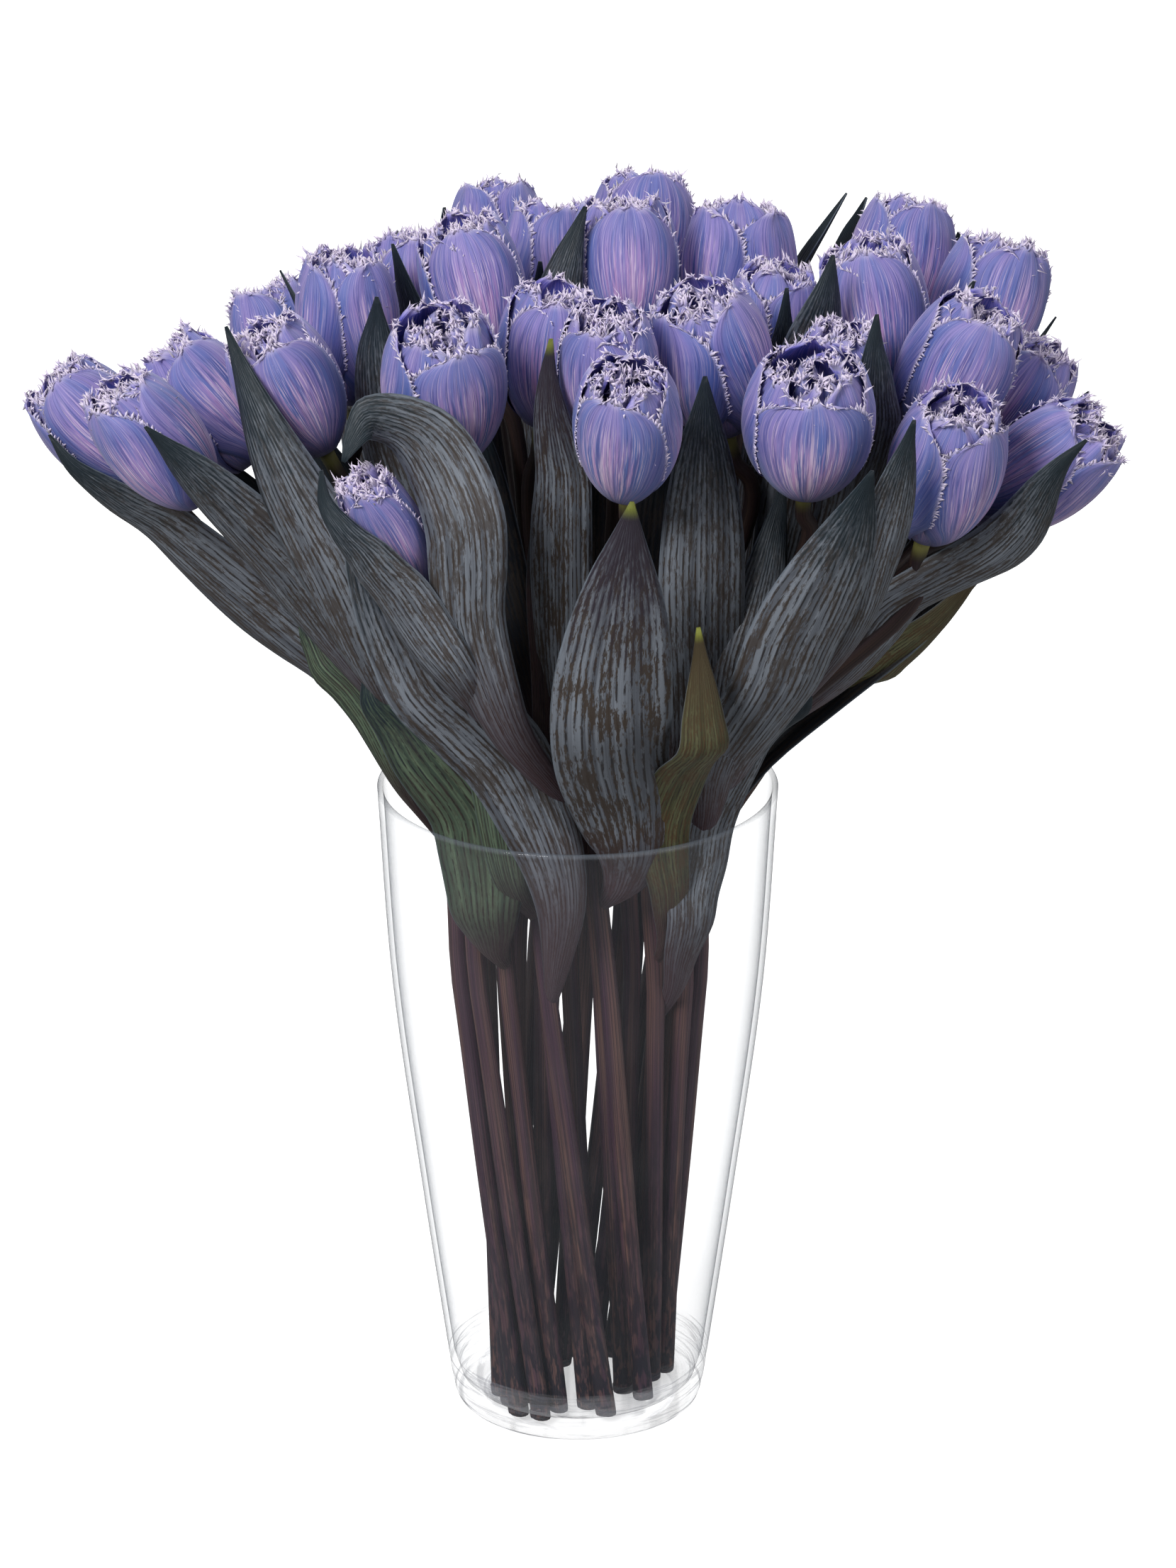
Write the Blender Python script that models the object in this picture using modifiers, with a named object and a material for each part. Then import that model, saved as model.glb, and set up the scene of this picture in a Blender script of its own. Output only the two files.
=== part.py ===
"""A glass vase of twenty-nine fringed tulips, modelled at real size.

Lengths are in millimetres until a mesh is made, +Z is up, and the viewer stands at -Y.
The origin is the middle of the vase's foot, on the surface it stands on.
"""

import math
import random
from collections import namedtuple

import bmesh
import bpy
from mathutils import Matrix, Vector
from mathutils.bvhtree import BVHTree

MM = 0.001

# The vase: a tall tapering tumbler with a thick foot.
VASE_HEIGHT = 305.0
VASE_WALL = 2.6
FLOOR_HEIGHT = 8.0
FLOOR_CORNER = 4.0
VASE_STEPS = 32
# Outer radius at each height, from the foot's heel to the rim.
VASE_OUTLINE = ((0, 53), (3, 57), (12, 59), (110, 72.5), (210, 85), (304, 91))

# The stems stand on the vase's floor, inside its wall.
SEAT_GAP = 0.3
STEM_FOOT_RADIUS = 4.7
STEM_TOP_RADIUS = 3.5
STEM_SIDES = 6
STEM_CUT = 4.0
# Distances below a bloom of the last points of its stem, which run down the bloom's axis.
NECK_POINTS = (46.0, 13.0, SEAT_GAP)
# The stems start in a circle on the floor, and cross the rim in a wider one that is turned from it.
# A power under 1 draws the stems of the middle heads outwards.
STEM_CIRCLE = 46.5
STEM_POWER = 0.5
RIM_CIRCLE = 79.0
RIM_POWER = 0.85
HEAD_REACH = 235.0
STEM_TWIST = math.radians(50)
# They climb in steps, and at each one they move apart. One step in a few becomes a ring.
STEM_STEP = 25.0
STEM_STEPS_A_RING = 4
STEM_TOP_LEVEL = 358.0
STEM_SPACING = 11.2
STEM_WALL_GAP = 9.0
STEM_PULL = 0.25
SPREAD_ROUNDS = 160

# The viewpoint that heads and leaves are placed from.
VIEW_DISTANCE = 3000.0
VIEW_DROP = math.radians(21.1)

# Leaves.
LEAF_THICKNESS = 0.9
LEAF_ROWS = 12
NARROW_LEAF = 22.0
LEAF_TIP_WIDTH = 1.6
# A blade's width is a half wave along it, started a little late, with its widest place moved up by
# a power over 1.
LEAF_START = 0.05
LEAF_POWER = 1.1
# How deeply a leaf clasps its stem, and the share of its length over which it opens.
CLASP_CUP = 1.1
CLASP_SHARE = 0.1
# A leaf starts at most this far below its first point and no higher than the top level, and the
# second leaf of a stem starts higher by the stagger.
LEAF_RUN = 70.0
LEAF_TOP_LEVEL = 315.0
LEAVES_A_STEM = 2
LEAF_STAGGER = 26.0
# Blades face away from a line this far behind the axis, or before it on the far side. A facing
# under 1 turns the blades at the sides further to the viewer.
LEAF_TURN = 105.0
LEAF_FACING = 0.6
# The room that a blade keeps: round a bloom, below and above it, and inside the glass, from which
# it may lean out over the rim.
LEAF_CLEARANCE = 4.5
BLOOM_REACH = 70.0
ROOM_BELOW = 6.0
ROOM_ABOVE = 9.0
GLASS_CLEARANCE = 3.9
RIM_ROOM = 40.0
RIM_LEAN = 0.5
# A blade is moved to that room in rounds, and a row takes its neighbours along by a share.
EASE_ROUNDS = 14
EASE_SHARE = 0.6
EASE_ENOUGH = 0.05

# The leaves of the far side, with ranges for where they start, their widths, how far their tips
# rise above a bloom's base, and their drift sideways. They fan out from a line before the axis, a
# step away from the stem at the rim, beside the neck and at the tip.
REAR_HEIGHTS = (190, 240)
REAR_WIDTHS = (28, 38)
REAR_TIPS = (25, 50)
REAR_DRIFT = 14
REAR_CENTRE = 30.0
REAR_RIM_STEP = 6.0
REAR_NECK = 50.0
REAR_NECK_STEP = 22.0
REAR_TIP_STEP = 12.0
REAR_CUP = 0.35
REAR_SEED = 7

# Blooms. The cup's radius follows the root of a sine that ends before its half wave does.
CUP_START = 0.012
CUP_WAVE = 0.87
HEAD_BACK_LEAN = 0.0042
PETAL_THICKNESS = 1.1
PETAL_ROWS = 3
PETAL_COLUMNS = 3
PETAL_HALF_ANGLE = math.radians(55)
PETAL_ROOT = 0.05
PETAL_NARROWING = 0.42
PETAL_ROOT_SHARE = 0.47
PETAL_ROOT_RISE = 0.14
EDGE_DROP = 0.06
FRINGE_LENGTH = 3.4
# Shares of the fringe's length that every other point of an edge stands in and out.
SIDE_TEETH = (-0.2, 0.35)
TOP_TEETH = (-0.3, 0.8)
INNER_TEETH = (-1.0, 0.3)
INNER_SIDES = 8
INNER_ROWS = 3
INNER_SHARE = 0.86
INNER_TOP = 0.82
RECEPTACLE_RADIUS = 6.5

# right and up are seen from the viewpoint, in the plane through the rim's middle, and away is
# the depth behind it. lean is the tilt to the right that the viewer sees.
Head = namedtuple("Head", "right up away length width lean turn")
HEADS = {
    "01": Head(-215, 159, 5, 68, 46, -42, 20),
    "02": Head(-190, 152, -45, 68, 44, -36, 75),
    "03": Head(-166, 170, 35, 68, 46, -38, 40),
    "04": Head(-129, 177, -45, 66, 46, -25, 10),
    "05": Head(-104, 204, 20, 70, 46, -4, 50),
    "06": Head(-60, 177, -82, 74, 54, -3, 28),
    "07": Head(-84, 113, -118, 68, 30, -26, 0),
    "08": Head(-46, 221, 15, 70, 46, -14, 5),
    "09": Head(-36, 238, 150, 68, 46, -4, 60),
    "10": Head(-13, 192, -30, 66, 46, 6, 0),
    "11": Head(-14, 229, 95, 66, 44, 2, 35),
    "12": Head(29, 241, 120, 70, 50, 4, 15),
    "13": Head(23, 157, -135, 74, 46, 0, -22),
    "14": Head(14, 183, -75, 68, 44, -2, 90),
    "15": Head(61, 189, -45, 70, 54, -12, 62),
    "16": Head(73, 226, 75, 72, 52, 0, 58),
    "17": Head(105, 160, -105, 70, 57, 2, 0),
    "18": Head(136, 209, 5, 72, 48, -10, 0),
    "19": Head(145, 229, 88, 70, 48, 12, 30),
    "20": Head(88, 200, 22, 66, 44, 6, 45),
    "21": Head(117, 175, -50, 66, 42, 8, 80),
    "22": Head(184, 212, 54, 72, 50, 20, 25),
    "23": Head(170, 184, -40, 72, 50, 24, 0),
    "24": Head(166, 140, -90, 74, 50, 12, 48),
    "25": Head(208, 140, -49, 74, 48, 50, 70),
    "26": Head(195, 168, -1, 68, 44, 32, 100),
    "27": Head(-73, 216, 80, 66, 44, -6, 15),
    "28": Head(-133, 194, 95, 64, 44, -20, 85),
    "29": Head(21, 228, 45, 72, 50, 0, 8),
}

# A leaf grows at a height or above it from the nearest stem with room for it, and its middle line
# goes on through points given as (right, up, away). The rolls turn the blade about that line at
# its base and tip, in degrees, and cup is how deeply its edges bend in.
Leaf = namedtuple("Leaf", "height width roll tip_roll cup points")
LEAVES = (
    # Far left, under head 01.
    Leaf(235, 38, 0, 0, 0.35, ((-113, 46, -5), (-159, 87, -8), (-205, 127, -12), (-237, 161, -12))),
    # Left, under head 02.
    Leaf(225, 36, 0, 0, 0.35, ((-106, 59, -48), (-131, 93, -62), (-168, 132, -76), (-196, 161, -80))),
    # Long upright blade left of head 04.
    Leaf(215, 38, 0, 0, 0.35, ((-88, 42, -72), (-109, 91, -88), (-138, 147, -82), (-159, 207, -60))),
    # Twisted blade crossing the rim.
    Leaf(160, 42, 0, 70, 0.3, (
        (-8, -54, -78), (-34, -1, -98), (-67, 47, -100),
        (-92, 95, -92), (-106, 138, -84),
    )),
    # Blade clasping the narrow bud.
    Leaf(250, 26, 0, 0, 0.5, ((-52, 42, -128), (-75, 74, -136), (-95, 109, -138), (-111, 145, -134))),
    # Blade whose tip droops over the bud.
    Leaf(262, 36, 0, 0, 0.3, (
        (-29, 17, -112), (-49, 70, -132), (-61, 116, -134), (-77, 155, -128),
        (-95, 164, -134), (-106, 145, -142),
    )),
    # Broad middle blade.
    Leaf(205, 53, 0, 0, 0.3, ((28, -37, -95), (16, 20, -136), (20, 77, -152), (25, 127, -158))),
    # Short olive blade.
    Leaf(200, 26, 0, 0, 0.3, ((54, -44, -92), (58, 13, -128), (55, 70, -132))),
    # Upright blade below head 15.
    Leaf(215, 38, 0, 0, 0.3, ((55, 17, -78), (57, 84, -98), (58, 141, -92), (58, 184, -84))),
    # Narrow upright blade.
    Leaf(215, 27, 0, 0, 0.35, ((-5, 34, -74), (-7, 99, -88), (-7, 155, -92), (-9, 202, -90))),
    # Dark reddish blade.
    Leaf(220, 16, 0, 0, 0.3, ((-13, 27, -70), (-16, 84, -80), (-19, 127, -84))),
    # Blade behind head 17.
    Leaf(215, 30, 0, 0, 0.35, ((67, -1, -84), (76, 49, -92), (86, 91, -80), (94, 138, -66))),
    # Broad right blade.
    Leaf(225, 42, 0, 0, 0.35, ((76, 4, -88), (99, 59, -122), (121, 104, -136), (134, 141, -146))),
    # Blade in front of head 24.
    Leaf(240, 24, 0, 0, 0.35, ((120, 59, -98), (136, 99, -124), (146, 134, -136), (153, 164, -140))),
    # Far right blade.
    Leaf(235, 34, 0, 0, 0.35, ((120, 48, -45), (158, 90, -72), (200, 123, -88), (231, 155, -92))),
    # Olive blade under it.
    Leaf(235, 24, 0, 0, 0.35, ((111, 24, 0), (133, 47, -10), (163, 71, -18), (187, 100, -22))),
    # Dark blade right of head 26.
    Leaf(245, 28, 0, 0, 0.35, ((143, 84, 10), (179, 123, 30), (211, 155, 42), (232, 177, 46))),
    # Dark blade right of head 22.
    Leaf(250, 26, 0, 0, 0.35, ((147, 106, 40), (175, 145, 62), (200, 184, 82), (217, 211, 90))),
    # Blade left of head 22.
    Leaf(240, 34, 0, 0, 0.35, ((126, 84, 10), (140, 145, 4), (159, 195, 4), (180, 227, 6))),
    # Tallest blade on the right.
    Leaf(235, 42, 0, 0, 0.35, ((69, 91, 70), (81, 163, 100), (97, 219, 108), (122, 267, 112))),
    # Blade behind the tallest.
    Leaf(240, 28, 0, 0, 0.35, ((90, 106, 90), (104, 177, 120), (120, 234, 130), (131, 265, 128))),
    # Dark blade in front of head 18.
    Leaf(240, 36, 0, 0, 0.35, ((90, 84, -20), (106, 152, -30), (112, 202, -34), (116, 239, -30))),
    # Blade between heads 18 and 23.
    Leaf(235, 30, 0, 0, 0.35, ((108, 77, -60), (127, 134, -74), (134, 173, -80), (136, 212, -78))),
    # Slim blade before head 20.
    Leaf(245, 20, 0, 0, 0.35, ((76, 84, -10), (86, 155, -14), (93, 191, -14), (95, 224, -12))),
    # Blade between heads 11 and 29.
    Leaf(240, 28, 0, 0, 0.35, ((3, 106, 30), (-3, 170, 24), (-2, 223, 24), (4, 261, 30))),
    # Blade before head 11.
    Leaf(240, 20, 0, 0, 0.35, ((-4, 99, 40), (-16, 155, 44), (-18, 202, 46), (-17, 236, 44))),
    # Tip behind head 12.
    Leaf(245, 20, 0, 0, 0.3, ((12, 106, 90), (11, 177, 132), (10, 227, 150), (10, 263, 156))),
    # Tip right of head 09.
    Leaf(245, 21, 0, 0, 0.3, ((-17, 99, 90), (-20, 170, 150), (-19, 219, 180), (-17, 254, 184))),
    # Tip left of head 09.
    Leaf(235, 21, 0, 0, 0.3, ((-34, 91, 90), (-51, 170, 140), (-55, 219, 162), (-54, 261, 164))),
    # Tip behind head 27.
    Leaf(240, 26, 0, 0, 0.3, ((-49, 84, 60), (-70, 155, 100), (-79, 205, 120), (-82, 250, 124))),
    # Blade before head 27.
    Leaf(235, 32, 0, 0, 0.35, ((-45, 77, 30), (-64, 141, 38), (-74, 198, 44), (-84, 244, 46))),
    # Blade beside head 28.
    Leaf(240, 26, 0, 0, 0.35, ((-70, 91, 60), (-102, 141, 70), (-122, 191, 76), (-135, 232, 80))),
    # Blade before head 05.
    Leaf(235, 36, 0, 0, 0.35, ((-56, 84, -20), (-81, 141, -18), (-91, 184, -16), (-91, 220, -14))),
    # Green blade over the left rim.
    Leaf(230, 24, 0, 0, 0.35, ((-91, 4, -35), (-109, 42, -30), (-125, 74, -10), (-141, 106, 0))),
    # Broad green blade inside the left rim.
    Leaf(170, 46, 0, 0, 0.3, ((-49, -65, -72), (-67, -22, -80), (-85, 24, -66), (-97, 63, -50))),
    # Narrow blade at the left.
    Leaf(190, 24, 0, 0, 0.3, ((-31, -44, -76), (-40, 13, -70), (-49, 70, -66), (-54, 109, -60))),
    # Blade folded over the right rim.
    Leaf(180, 30, 0, 0, 0.3, ((60, -69, -66), (78, -26, -70), (94, 13, -74), (106, 42, -70))),
    # Dark blade behind the right rim.
    Leaf(240, 20, 0, 0, 0.3, ((88, 4, 5), (106, 24, 15), (120, 40, 22), (128, 52, 26))),
    # Five in the middle of the bunch, which close the dark behind the front ones.
    Leaf(235, 34, 0, 0, 0.3, ((28, 34, -30), (38, 90, -24), (42, 140, -18), (45, 182, -12))),
    Leaf(235, 32, 0, 0, 0.3, ((-24, 40, -20), (-40, 96, -10), (-48, 146, -6), (-54, 186, -4))),
    Leaf(235, 32, 0, 0, 0.3, ((62, 40, -10), (80, 92, 0), (92, 138, 6), (102, 176, 10))),
    Leaf(235, 30, 0, 0, 0.3, ((-66, 56, 0), (-94, 102, 4), (-114, 142, 8), (-130, 172, 12))),
    Leaf(235, 32, 0, 0, 0.3, ((2, 44, 10), (4, 104, 16), (6, 154, 20), (8, 196, 24))),
)
# Heads at the back, which carry a leaf on the far side of the bunch.
REAR_HEADS = ("03", "28", "09", "12", "19", "22", "26", "16")


def seen_at(right, up, away):
    """The point that the viewer sees right and up of the rim's middle, at a depth behind it."""
    middle = Vector((0, 0, VASE_HEIGHT))
    eye = middle + Vector((0, -VIEW_DISTANCE, VIEW_DISTANCE * math.tan(VIEW_DROP)))
    plane = middle + Vector((right, up * math.sin(VIEW_DROP), up * math.cos(VIEW_DROP)))
    ray = plane - eye
    return eye + ray * ((away + VIEW_DISTANCE) / ray.y)


def vase_radius(height):
    """The vase's outer radius at a height."""
    for (low, r_low), (high, r_high) in zip(VASE_OUTLINE, VASE_OUTLINE[1:]):
        if height <= high:
            share = max(0.0, (height - low) / (high - low))
            return r_low + (r_high - r_low) * share
    return VASE_OUTLINE[-1][1]


def through(points, share):
    """The point at a share of the way along a smooth curve through the points."""
    spans = len(points) - 1
    index = min(int(share * spans), spans - 1)
    t = share * spans - index
    b, c = points[index], points[index + 1]
    a = points[index - 1] if index else b * 2 - c
    d = points[index + 2] if index + 2 <= spans else c * 2 - b
    bend = (a * 2 - b * 5 + c * 4 - d) * t**2 + (b * 3 - a - c * 3 + d) * t**3
    return b + ((c - a) * t + bend) / 2


class Bloom:
    """Where one bloom sits, and the form that its petals follow."""

    def __init__(self, head):
        self.length = head.length
        self.radius = head.width / 2
        slope = Vector((math.tan(math.radians(head.lean)), head.away * HEAD_BACK_LEAN, 1.0))
        self.axis = slope.normalized()
        self.base = seen_at(head.right, head.up, head.away) - self.axis * head.length / 2
        front = Vector((0, -1, 0))
        front = (front - self.axis * front.dot(self.axis)).normalized()
        self.front = Matrix.Rotation(math.radians(head.turn), 3, self.axis) @ front
        self.side = self.axis.cross(self.front)

    def girth(self, along):
        """The radius of the cup at a share of the bloom's length."""
        along = min(max(along, 0.0), 1.0)
        return self.radius * math.sin(math.pi * (CUP_START + CUP_WAVE * along)) ** 0.5

    def point(self, angle, along, radius):
        around = self.front * math.cos(angle) + self.side * math.sin(angle)
        return self.base + self.axis * (along * self.length) + around * radius


def spread(places, spacing, limit):
    """Moves points in a level plane apart until they are a spacing from each other."""
    places = [place.copy() for place in places]
    for _ in range(SPREAD_ROUNDS):
        for i, a in enumerate(places):
            for b in places[i + 1:]:
                apart = b - a
                short = spacing - apart.length
                if short > 0:
                    push = apart.normalized() * short / 2
                    a -= push
                    b += push
        for place in places:
            if place.length > limit:
                place *= limit / place.length
    return places


def stem_lines(blooms):
    """The middle line of each stem, from the vase's floor to its bloom.

    The stems climb level by level from a twisted ring of feet towards the heads, and at each
    level they are moved apart, so that none runs through another.
    """
    feet, rims, necks = [], [], []
    for bloom in blooms.values():
        flat = bloom.base.xy
        share = min(flat.length / HEAD_REACH, 1.0)
        outward = flat.normalized()
        feet.append(Matrix.Rotation(STEM_TWIST, 2) @ outward * STEM_CIRCLE * share**STEM_POWER)
        rims.append(outward * RIM_CIRCLE * share**RIM_POWER)
        necks.append(bloom.base - bloom.axis * NECK_POINTS[0])

    def aim(level):
        """Where each stem would be at a level if it stood alone."""
        if level <= VASE_HEIGHT:
            share = (level - FLOOR_HEIGHT) / (VASE_HEIGHT - FLOOR_HEIGHT)
            return [foot.lerp(rim, share) for foot, rim in zip(feet, rims)]
        return [
            rim.lerp(neck.xy, (level - VASE_HEIGHT) / (neck.z - VASE_HEIGHT))
            for rim, neck in zip(rims, necks)
        ]

    level = FLOOR_HEIGHT + SEAT_GAP
    places = spread(aim(level), STEM_SPACING, STEM_CIRCLE)
    lines = [[Vector((*place, level)), Vector((*place, level + STEM_CUT))] for place in places]
    step = 0
    while level + STEM_STEP < STEM_TOP_LEVEL:
        now, after = aim(level), aim(level + STEM_STEP)
        level += STEM_STEP
        step += 1
        moved = [(p + b - a).lerp(b, STEM_PULL) for p, a, b in zip(places, now, after)]
        places = spread(moved, STEM_SPACING, vase_radius(level) - VASE_WALL - STEM_WALL_GAP)
        if step % STEM_STEPS_A_RING == 0:
            for line, place in zip(lines, places):
                line.append(Vector((*place, level)))
    for line, bloom in zip(lines, blooms.values()):
        line += [bloom.base - bloom.axis * low for low in NECK_POINTS]
    return dict(zip(blooms, lines))


def stem_point_at(line, height):
    """The point of a stem's line at a height."""
    for low, high in zip(line, line[1:]):
        if height <= high.z:
            return low.lerp(high, (height - low.z) / (high.z - low.z))
    return line[-1]


def nearest_stem(lines, height, place, carried):
    """The stem that passes closest to a place at a height, among those with room for a leaf."""
    free = [name for name in lines if carried[name] < LEAVES_A_STEM]
    return min(free, key=lambda name: (stem_point_at(lines[name], height) - place).length)


def rear_leaves(blooms, lines):
    """Leaves on the far side of the bunch, where the viewer doesn't see how each one lies."""
    rng = random.Random(REAR_SEED)
    grown = []
    for name in REAR_HEADS:
        bloom = blooms[name]
        outward = Vector((bloom.base.x, bloom.base.y + REAR_CENTRE, 0)).normalized()
        drift = Vector((-outward.y, outward.x, 0)) * rng.uniform(-REAR_DRIFT, REAR_DRIFT)
        rim = stem_point_at(lines[name], VASE_HEIGHT) + outward * REAR_RIM_STEP
        middle = bloom.base - bloom.axis * REAR_NECK + outward * REAR_NECK_STEP + drift / 2
        tip = bloom.base + bloom.axis * rng.uniform(*REAR_TIPS) + drift
        tip += outward * (bloom.radius + REAR_TIP_STEP)
        leaf = Leaf(rng.uniform(*REAR_HEIGHTS), rng.uniform(*REAR_WIDTHS), 0, 0, REAR_CUP, ())
        grown.append((leaf, [rim, middle, tip], LEAF_TURN))
    return grown


def blade_rows(line, leaf, behind, rows, columns):
    """The grid of points of a leaf blade: a list across for each row along its line.

    The blade faces away from a line that stands behind the vase's axis, which turns the blades
    at the sides to the viewer, or before it for the blades of the far side.
    """
    grid = []
    for row in range(rows + 1):
        t = row / rows
        middle = through(line, t)
        ahead = through(line, min(t + 0.02, 1.0)) - through(line, max(t - 0.02, 0.0))
        ahead.normalize()
        outward = Vector((middle.x * LEAF_FACING, middle.y + behind, 0)).normalized()
        normal = (outward - ahead * outward.dot(ahead)).normalized()
        turn = math.radians(leaf.roll + (leaf.tip_roll - leaf.roll) * t)
        normal = Matrix.Rotation(turn, 3, ahead) @ normal
        across = ahead.cross(normal)
        wave = math.sin(math.pi * (LEAF_START + (1 - LEAF_START) * t) ** LEAF_POWER)
        half = max(leaf.width * wave, LEAF_TIP_WIDTH) / 2
        bend = leaf.cup + (CLASP_CUP - leaf.cup) * math.exp(-t / CLASP_SHARE)
        grid.append([
            middle + across * (half * s) - normal * (bend * half * s * s)
            for s in (2 * c / columns - 1 for c in range(columns + 1))
        ])
    return grid


def room_shift(points, blooms):
    """How far a row of a blade has to move to lie clear of the blooms and inside the vase."""
    centre = sum(points, Vector()) / len(points)
    best = Vector()
    for bloom in blooms:
        away = centre - bloom.base
        if away.length > bloom.length + BLOOM_REACH:
            continue
        away -= bloom.axis * away.dot(bloom.axis)
        if away.length < 1:
            continue
        away.normalize()
        for p in points:
            local = p - bloom.base
            height = local.dot(bloom.axis)
            if not -ROOM_BELOW < height < bloom.length + ROOM_ABOVE:
                continue
            radial = local - bloom.axis * height
            wanted = max(bloom.girth(height / bloom.length), RECEPTACLE_RADIUS) + LEAF_CLEARANCE
            short = wanted - radial.length
            if short > best.length:
                best = away * short
    for p in points:
        if p.z > VASE_HEIGHT + RIM_ROOM:
            continue
        limit = vase_radius(p.z) - VASE_WALL - GLASS_CLEARANCE
        limit += max(0.0, p.z - VASE_HEIGHT) * RIM_LEAN
        reach = p.xy.length - limit
        if reach > best.length:
            best = -Vector((p.x, p.y, 0)).normalized() * reach
    return best


def eased(grid, blooms):
    """The blade with its rows moved clear of blooms and glass, each one easing into the next."""
    for _ in range(EASE_ROUNDS):
        shifts = [room_shift(row, blooms) for row in grid]
        shifts[0] = Vector()
        if max(shift.length for shift in shifts) < EASE_ENOUGH:
            break
        smooth = [Vector()]
        for i in range(1, len(shifts)):
            near = [shifts[j] * EASE_SHARE for j in (i - 1, i + 1) if j < len(shifts)]
            smooth.append(max([shifts[i], *near], key=lambda v: v.length))
        grid = [[p + move for p in row] for row, move in zip(grid, smooth)]
    return grid


def leaf_grids(blooms, lines, rows, columns):
    """(tulip, width, grid) for every leaf of the bunch."""
    made = []
    forms = list(blooms.values())
    carried = {name: 0 for name in lines}
    sown = [(leaf, [seen_at(*point) for point in leaf.points], -LEAF_TURN) for leaf in LEAVES]
    for leaf, points, behind in sown + rear_leaves(blooms, lines):
        height = max(leaf.height, min(points[0].z - LEAF_RUN, LEAF_TOP_LEVEL))
        tulip = nearest_stem(lines, height, points[0], carried)
        height += LEAF_STAGGER * carried[tulip]
        carried[tulip] += 1
        line = [stem_point_at(lines[tulip], height), *points]
        grid = blade_rows(line, leaf, behind, rows, columns)
        made.append((tulip, leaf.width, eased(grid, forms)))
    return made


def petal_grid(bloom, index, rows, columns):
    """The grid of points of an outer petal, sunk at its root in the inner ones, with its fringe."""
    grid = []
    for row in range(rows + 1):
        along = PETAL_ROOT + (1 - PETAL_ROOT) * row / rows
        narrowing = 1 - max(0.0, 2 * along - 1) ** 3 * PETAL_NARROWING
        tooth = FRINGE_LENGTH / bloom.radius * SIDE_TEETH[row % 2] * (row > 1)
        line = []
        for column in range(columns + 1):
            across = 2 * column / columns - 1
            wide = across * (1 + (tooth if abs(across) == 1 else 0))
            angle = math.radians(120 * index) + PETAL_HALF_ANGLE * wide * narrowing
            radius = bloom.girth(along) if row else bloom.girth(PETAL_ROOT_RISE) * PETAL_ROOT_SHARE
            rise = -EDGE_DROP * across * across * along
            if row == rows:
                rise += FRINGE_LENGTH / bloom.length * TOP_TEETH[column % 2]
            line.append(bloom.point(angle, along + rise, radius))
        grid.append(line)
    return grid


def clear_scene():
    for obj in list(bpy.data.objects):
        bpy.data.objects.remove(obj, do_unlink=True)


def finish(name, colour, roughness, alpha=1.0):
    """A plain material."""
    material = bpy.data.materials.new(name)
    material.use_nodes = True
    shader = material.node_tree.nodes["Principled BSDF"]
    shader.inputs["Base Color"].default_value = (*colour, 1.0)
    shader.inputs["Roughness"].default_value = roughness
    shader.inputs["Metallic"].default_value = 0.0
    shader.inputs["Alpha"].default_value = alpha
    return material


def new_object(name, mesh, collection, material=None):
    obj = bpy.data.objects.new(name, mesh)
    collection.objects.link(obj)
    if material:
        mesh.materials.append(material)
    return obj


def applied(obj):
    """Replaces an object's data by its evaluated mesh, with coincident points welded."""
    graph = bpy.context.evaluated_depsgraph_get()
    mesh = bpy.data.meshes.new_from_object(obj.evaluated_get(graph))
    shape = bmesh.new()
    shape.from_mesh(mesh)
    bmesh.ops.remove_doubles(shape, verts=shape.verts, dist=1e-5)
    shape.to_mesh(mesh)
    shape.free()
    fresh = bpy.data.objects.new(obj.name + "_mesh", mesh)
    fresh.matrix_world = obj.matrix_world
    obj.users_collection[0].objects.link(fresh)
    bpy.data.objects.remove(obj, do_unlink=True)
    return fresh


def sheet(name, grid, thickness, collection):
    """A thin solid from a grid of points in millimetres."""
    rows, columns = len(grid) - 1, len(grid[0]) - 1
    shape = bmesh.new()
    bmesh.ops.create_grid(shape, x_segments=columns, y_segments=rows, size=1.0)
    for vertex in shape.verts:
        row = round((vertex.co.y + 1) / 2 * rows)
        column = round((vertex.co.x + 1) / 2 * columns)
        vertex.co = grid[row][column] * MM
    bmesh.ops.triangulate(shape, faces=shape.faces, quad_method="FIXED")
    mesh = bpy.data.meshes.new(name)
    shape.to_mesh(mesh)
    shape.free()
    obj = new_object(name, mesh, collection)
    wall = obj.modifiers.new("wall", "SOLIDIFY")
    wall.thickness = thickness * MM
    wall.offset = 0.0
    return applied(obj)


def stem(name, line, collection):
    """A tapering stem along its line."""
    curve = bpy.data.curves.new(name, "CURVE")
    curve.dimensions = "3D"
    curve.bevel_depth = MM
    curve.bevel_resolution = (STEM_SIDES - 4) // 2
    curve.use_fill_caps = True
    spline = curve.splines.new("POLY")
    spline.points.add(len(line) - 1)
    for i, (point, place) in enumerate(zip(spline.points, line)):
        point.co = (*(place * MM), 1.0)
        point.radius = STEM_FOOT_RADIUS + (STEM_TOP_RADIUS - STEM_FOOT_RADIUS) * i / (len(line) - 1)
    obj = bpy.data.objects.new(name, curve)
    collection.objects.link(obj)
    return applied(obj)


def shell_volume(faces):
    """The volume that a shell of triangles holds, below zero where it faces inwards."""
    total = 0.0
    for face in faces:
        a, b, c = (vertex.co for vertex in face.verts)
        total += a.dot(b.cross(c)) / 6
    return total


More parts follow.
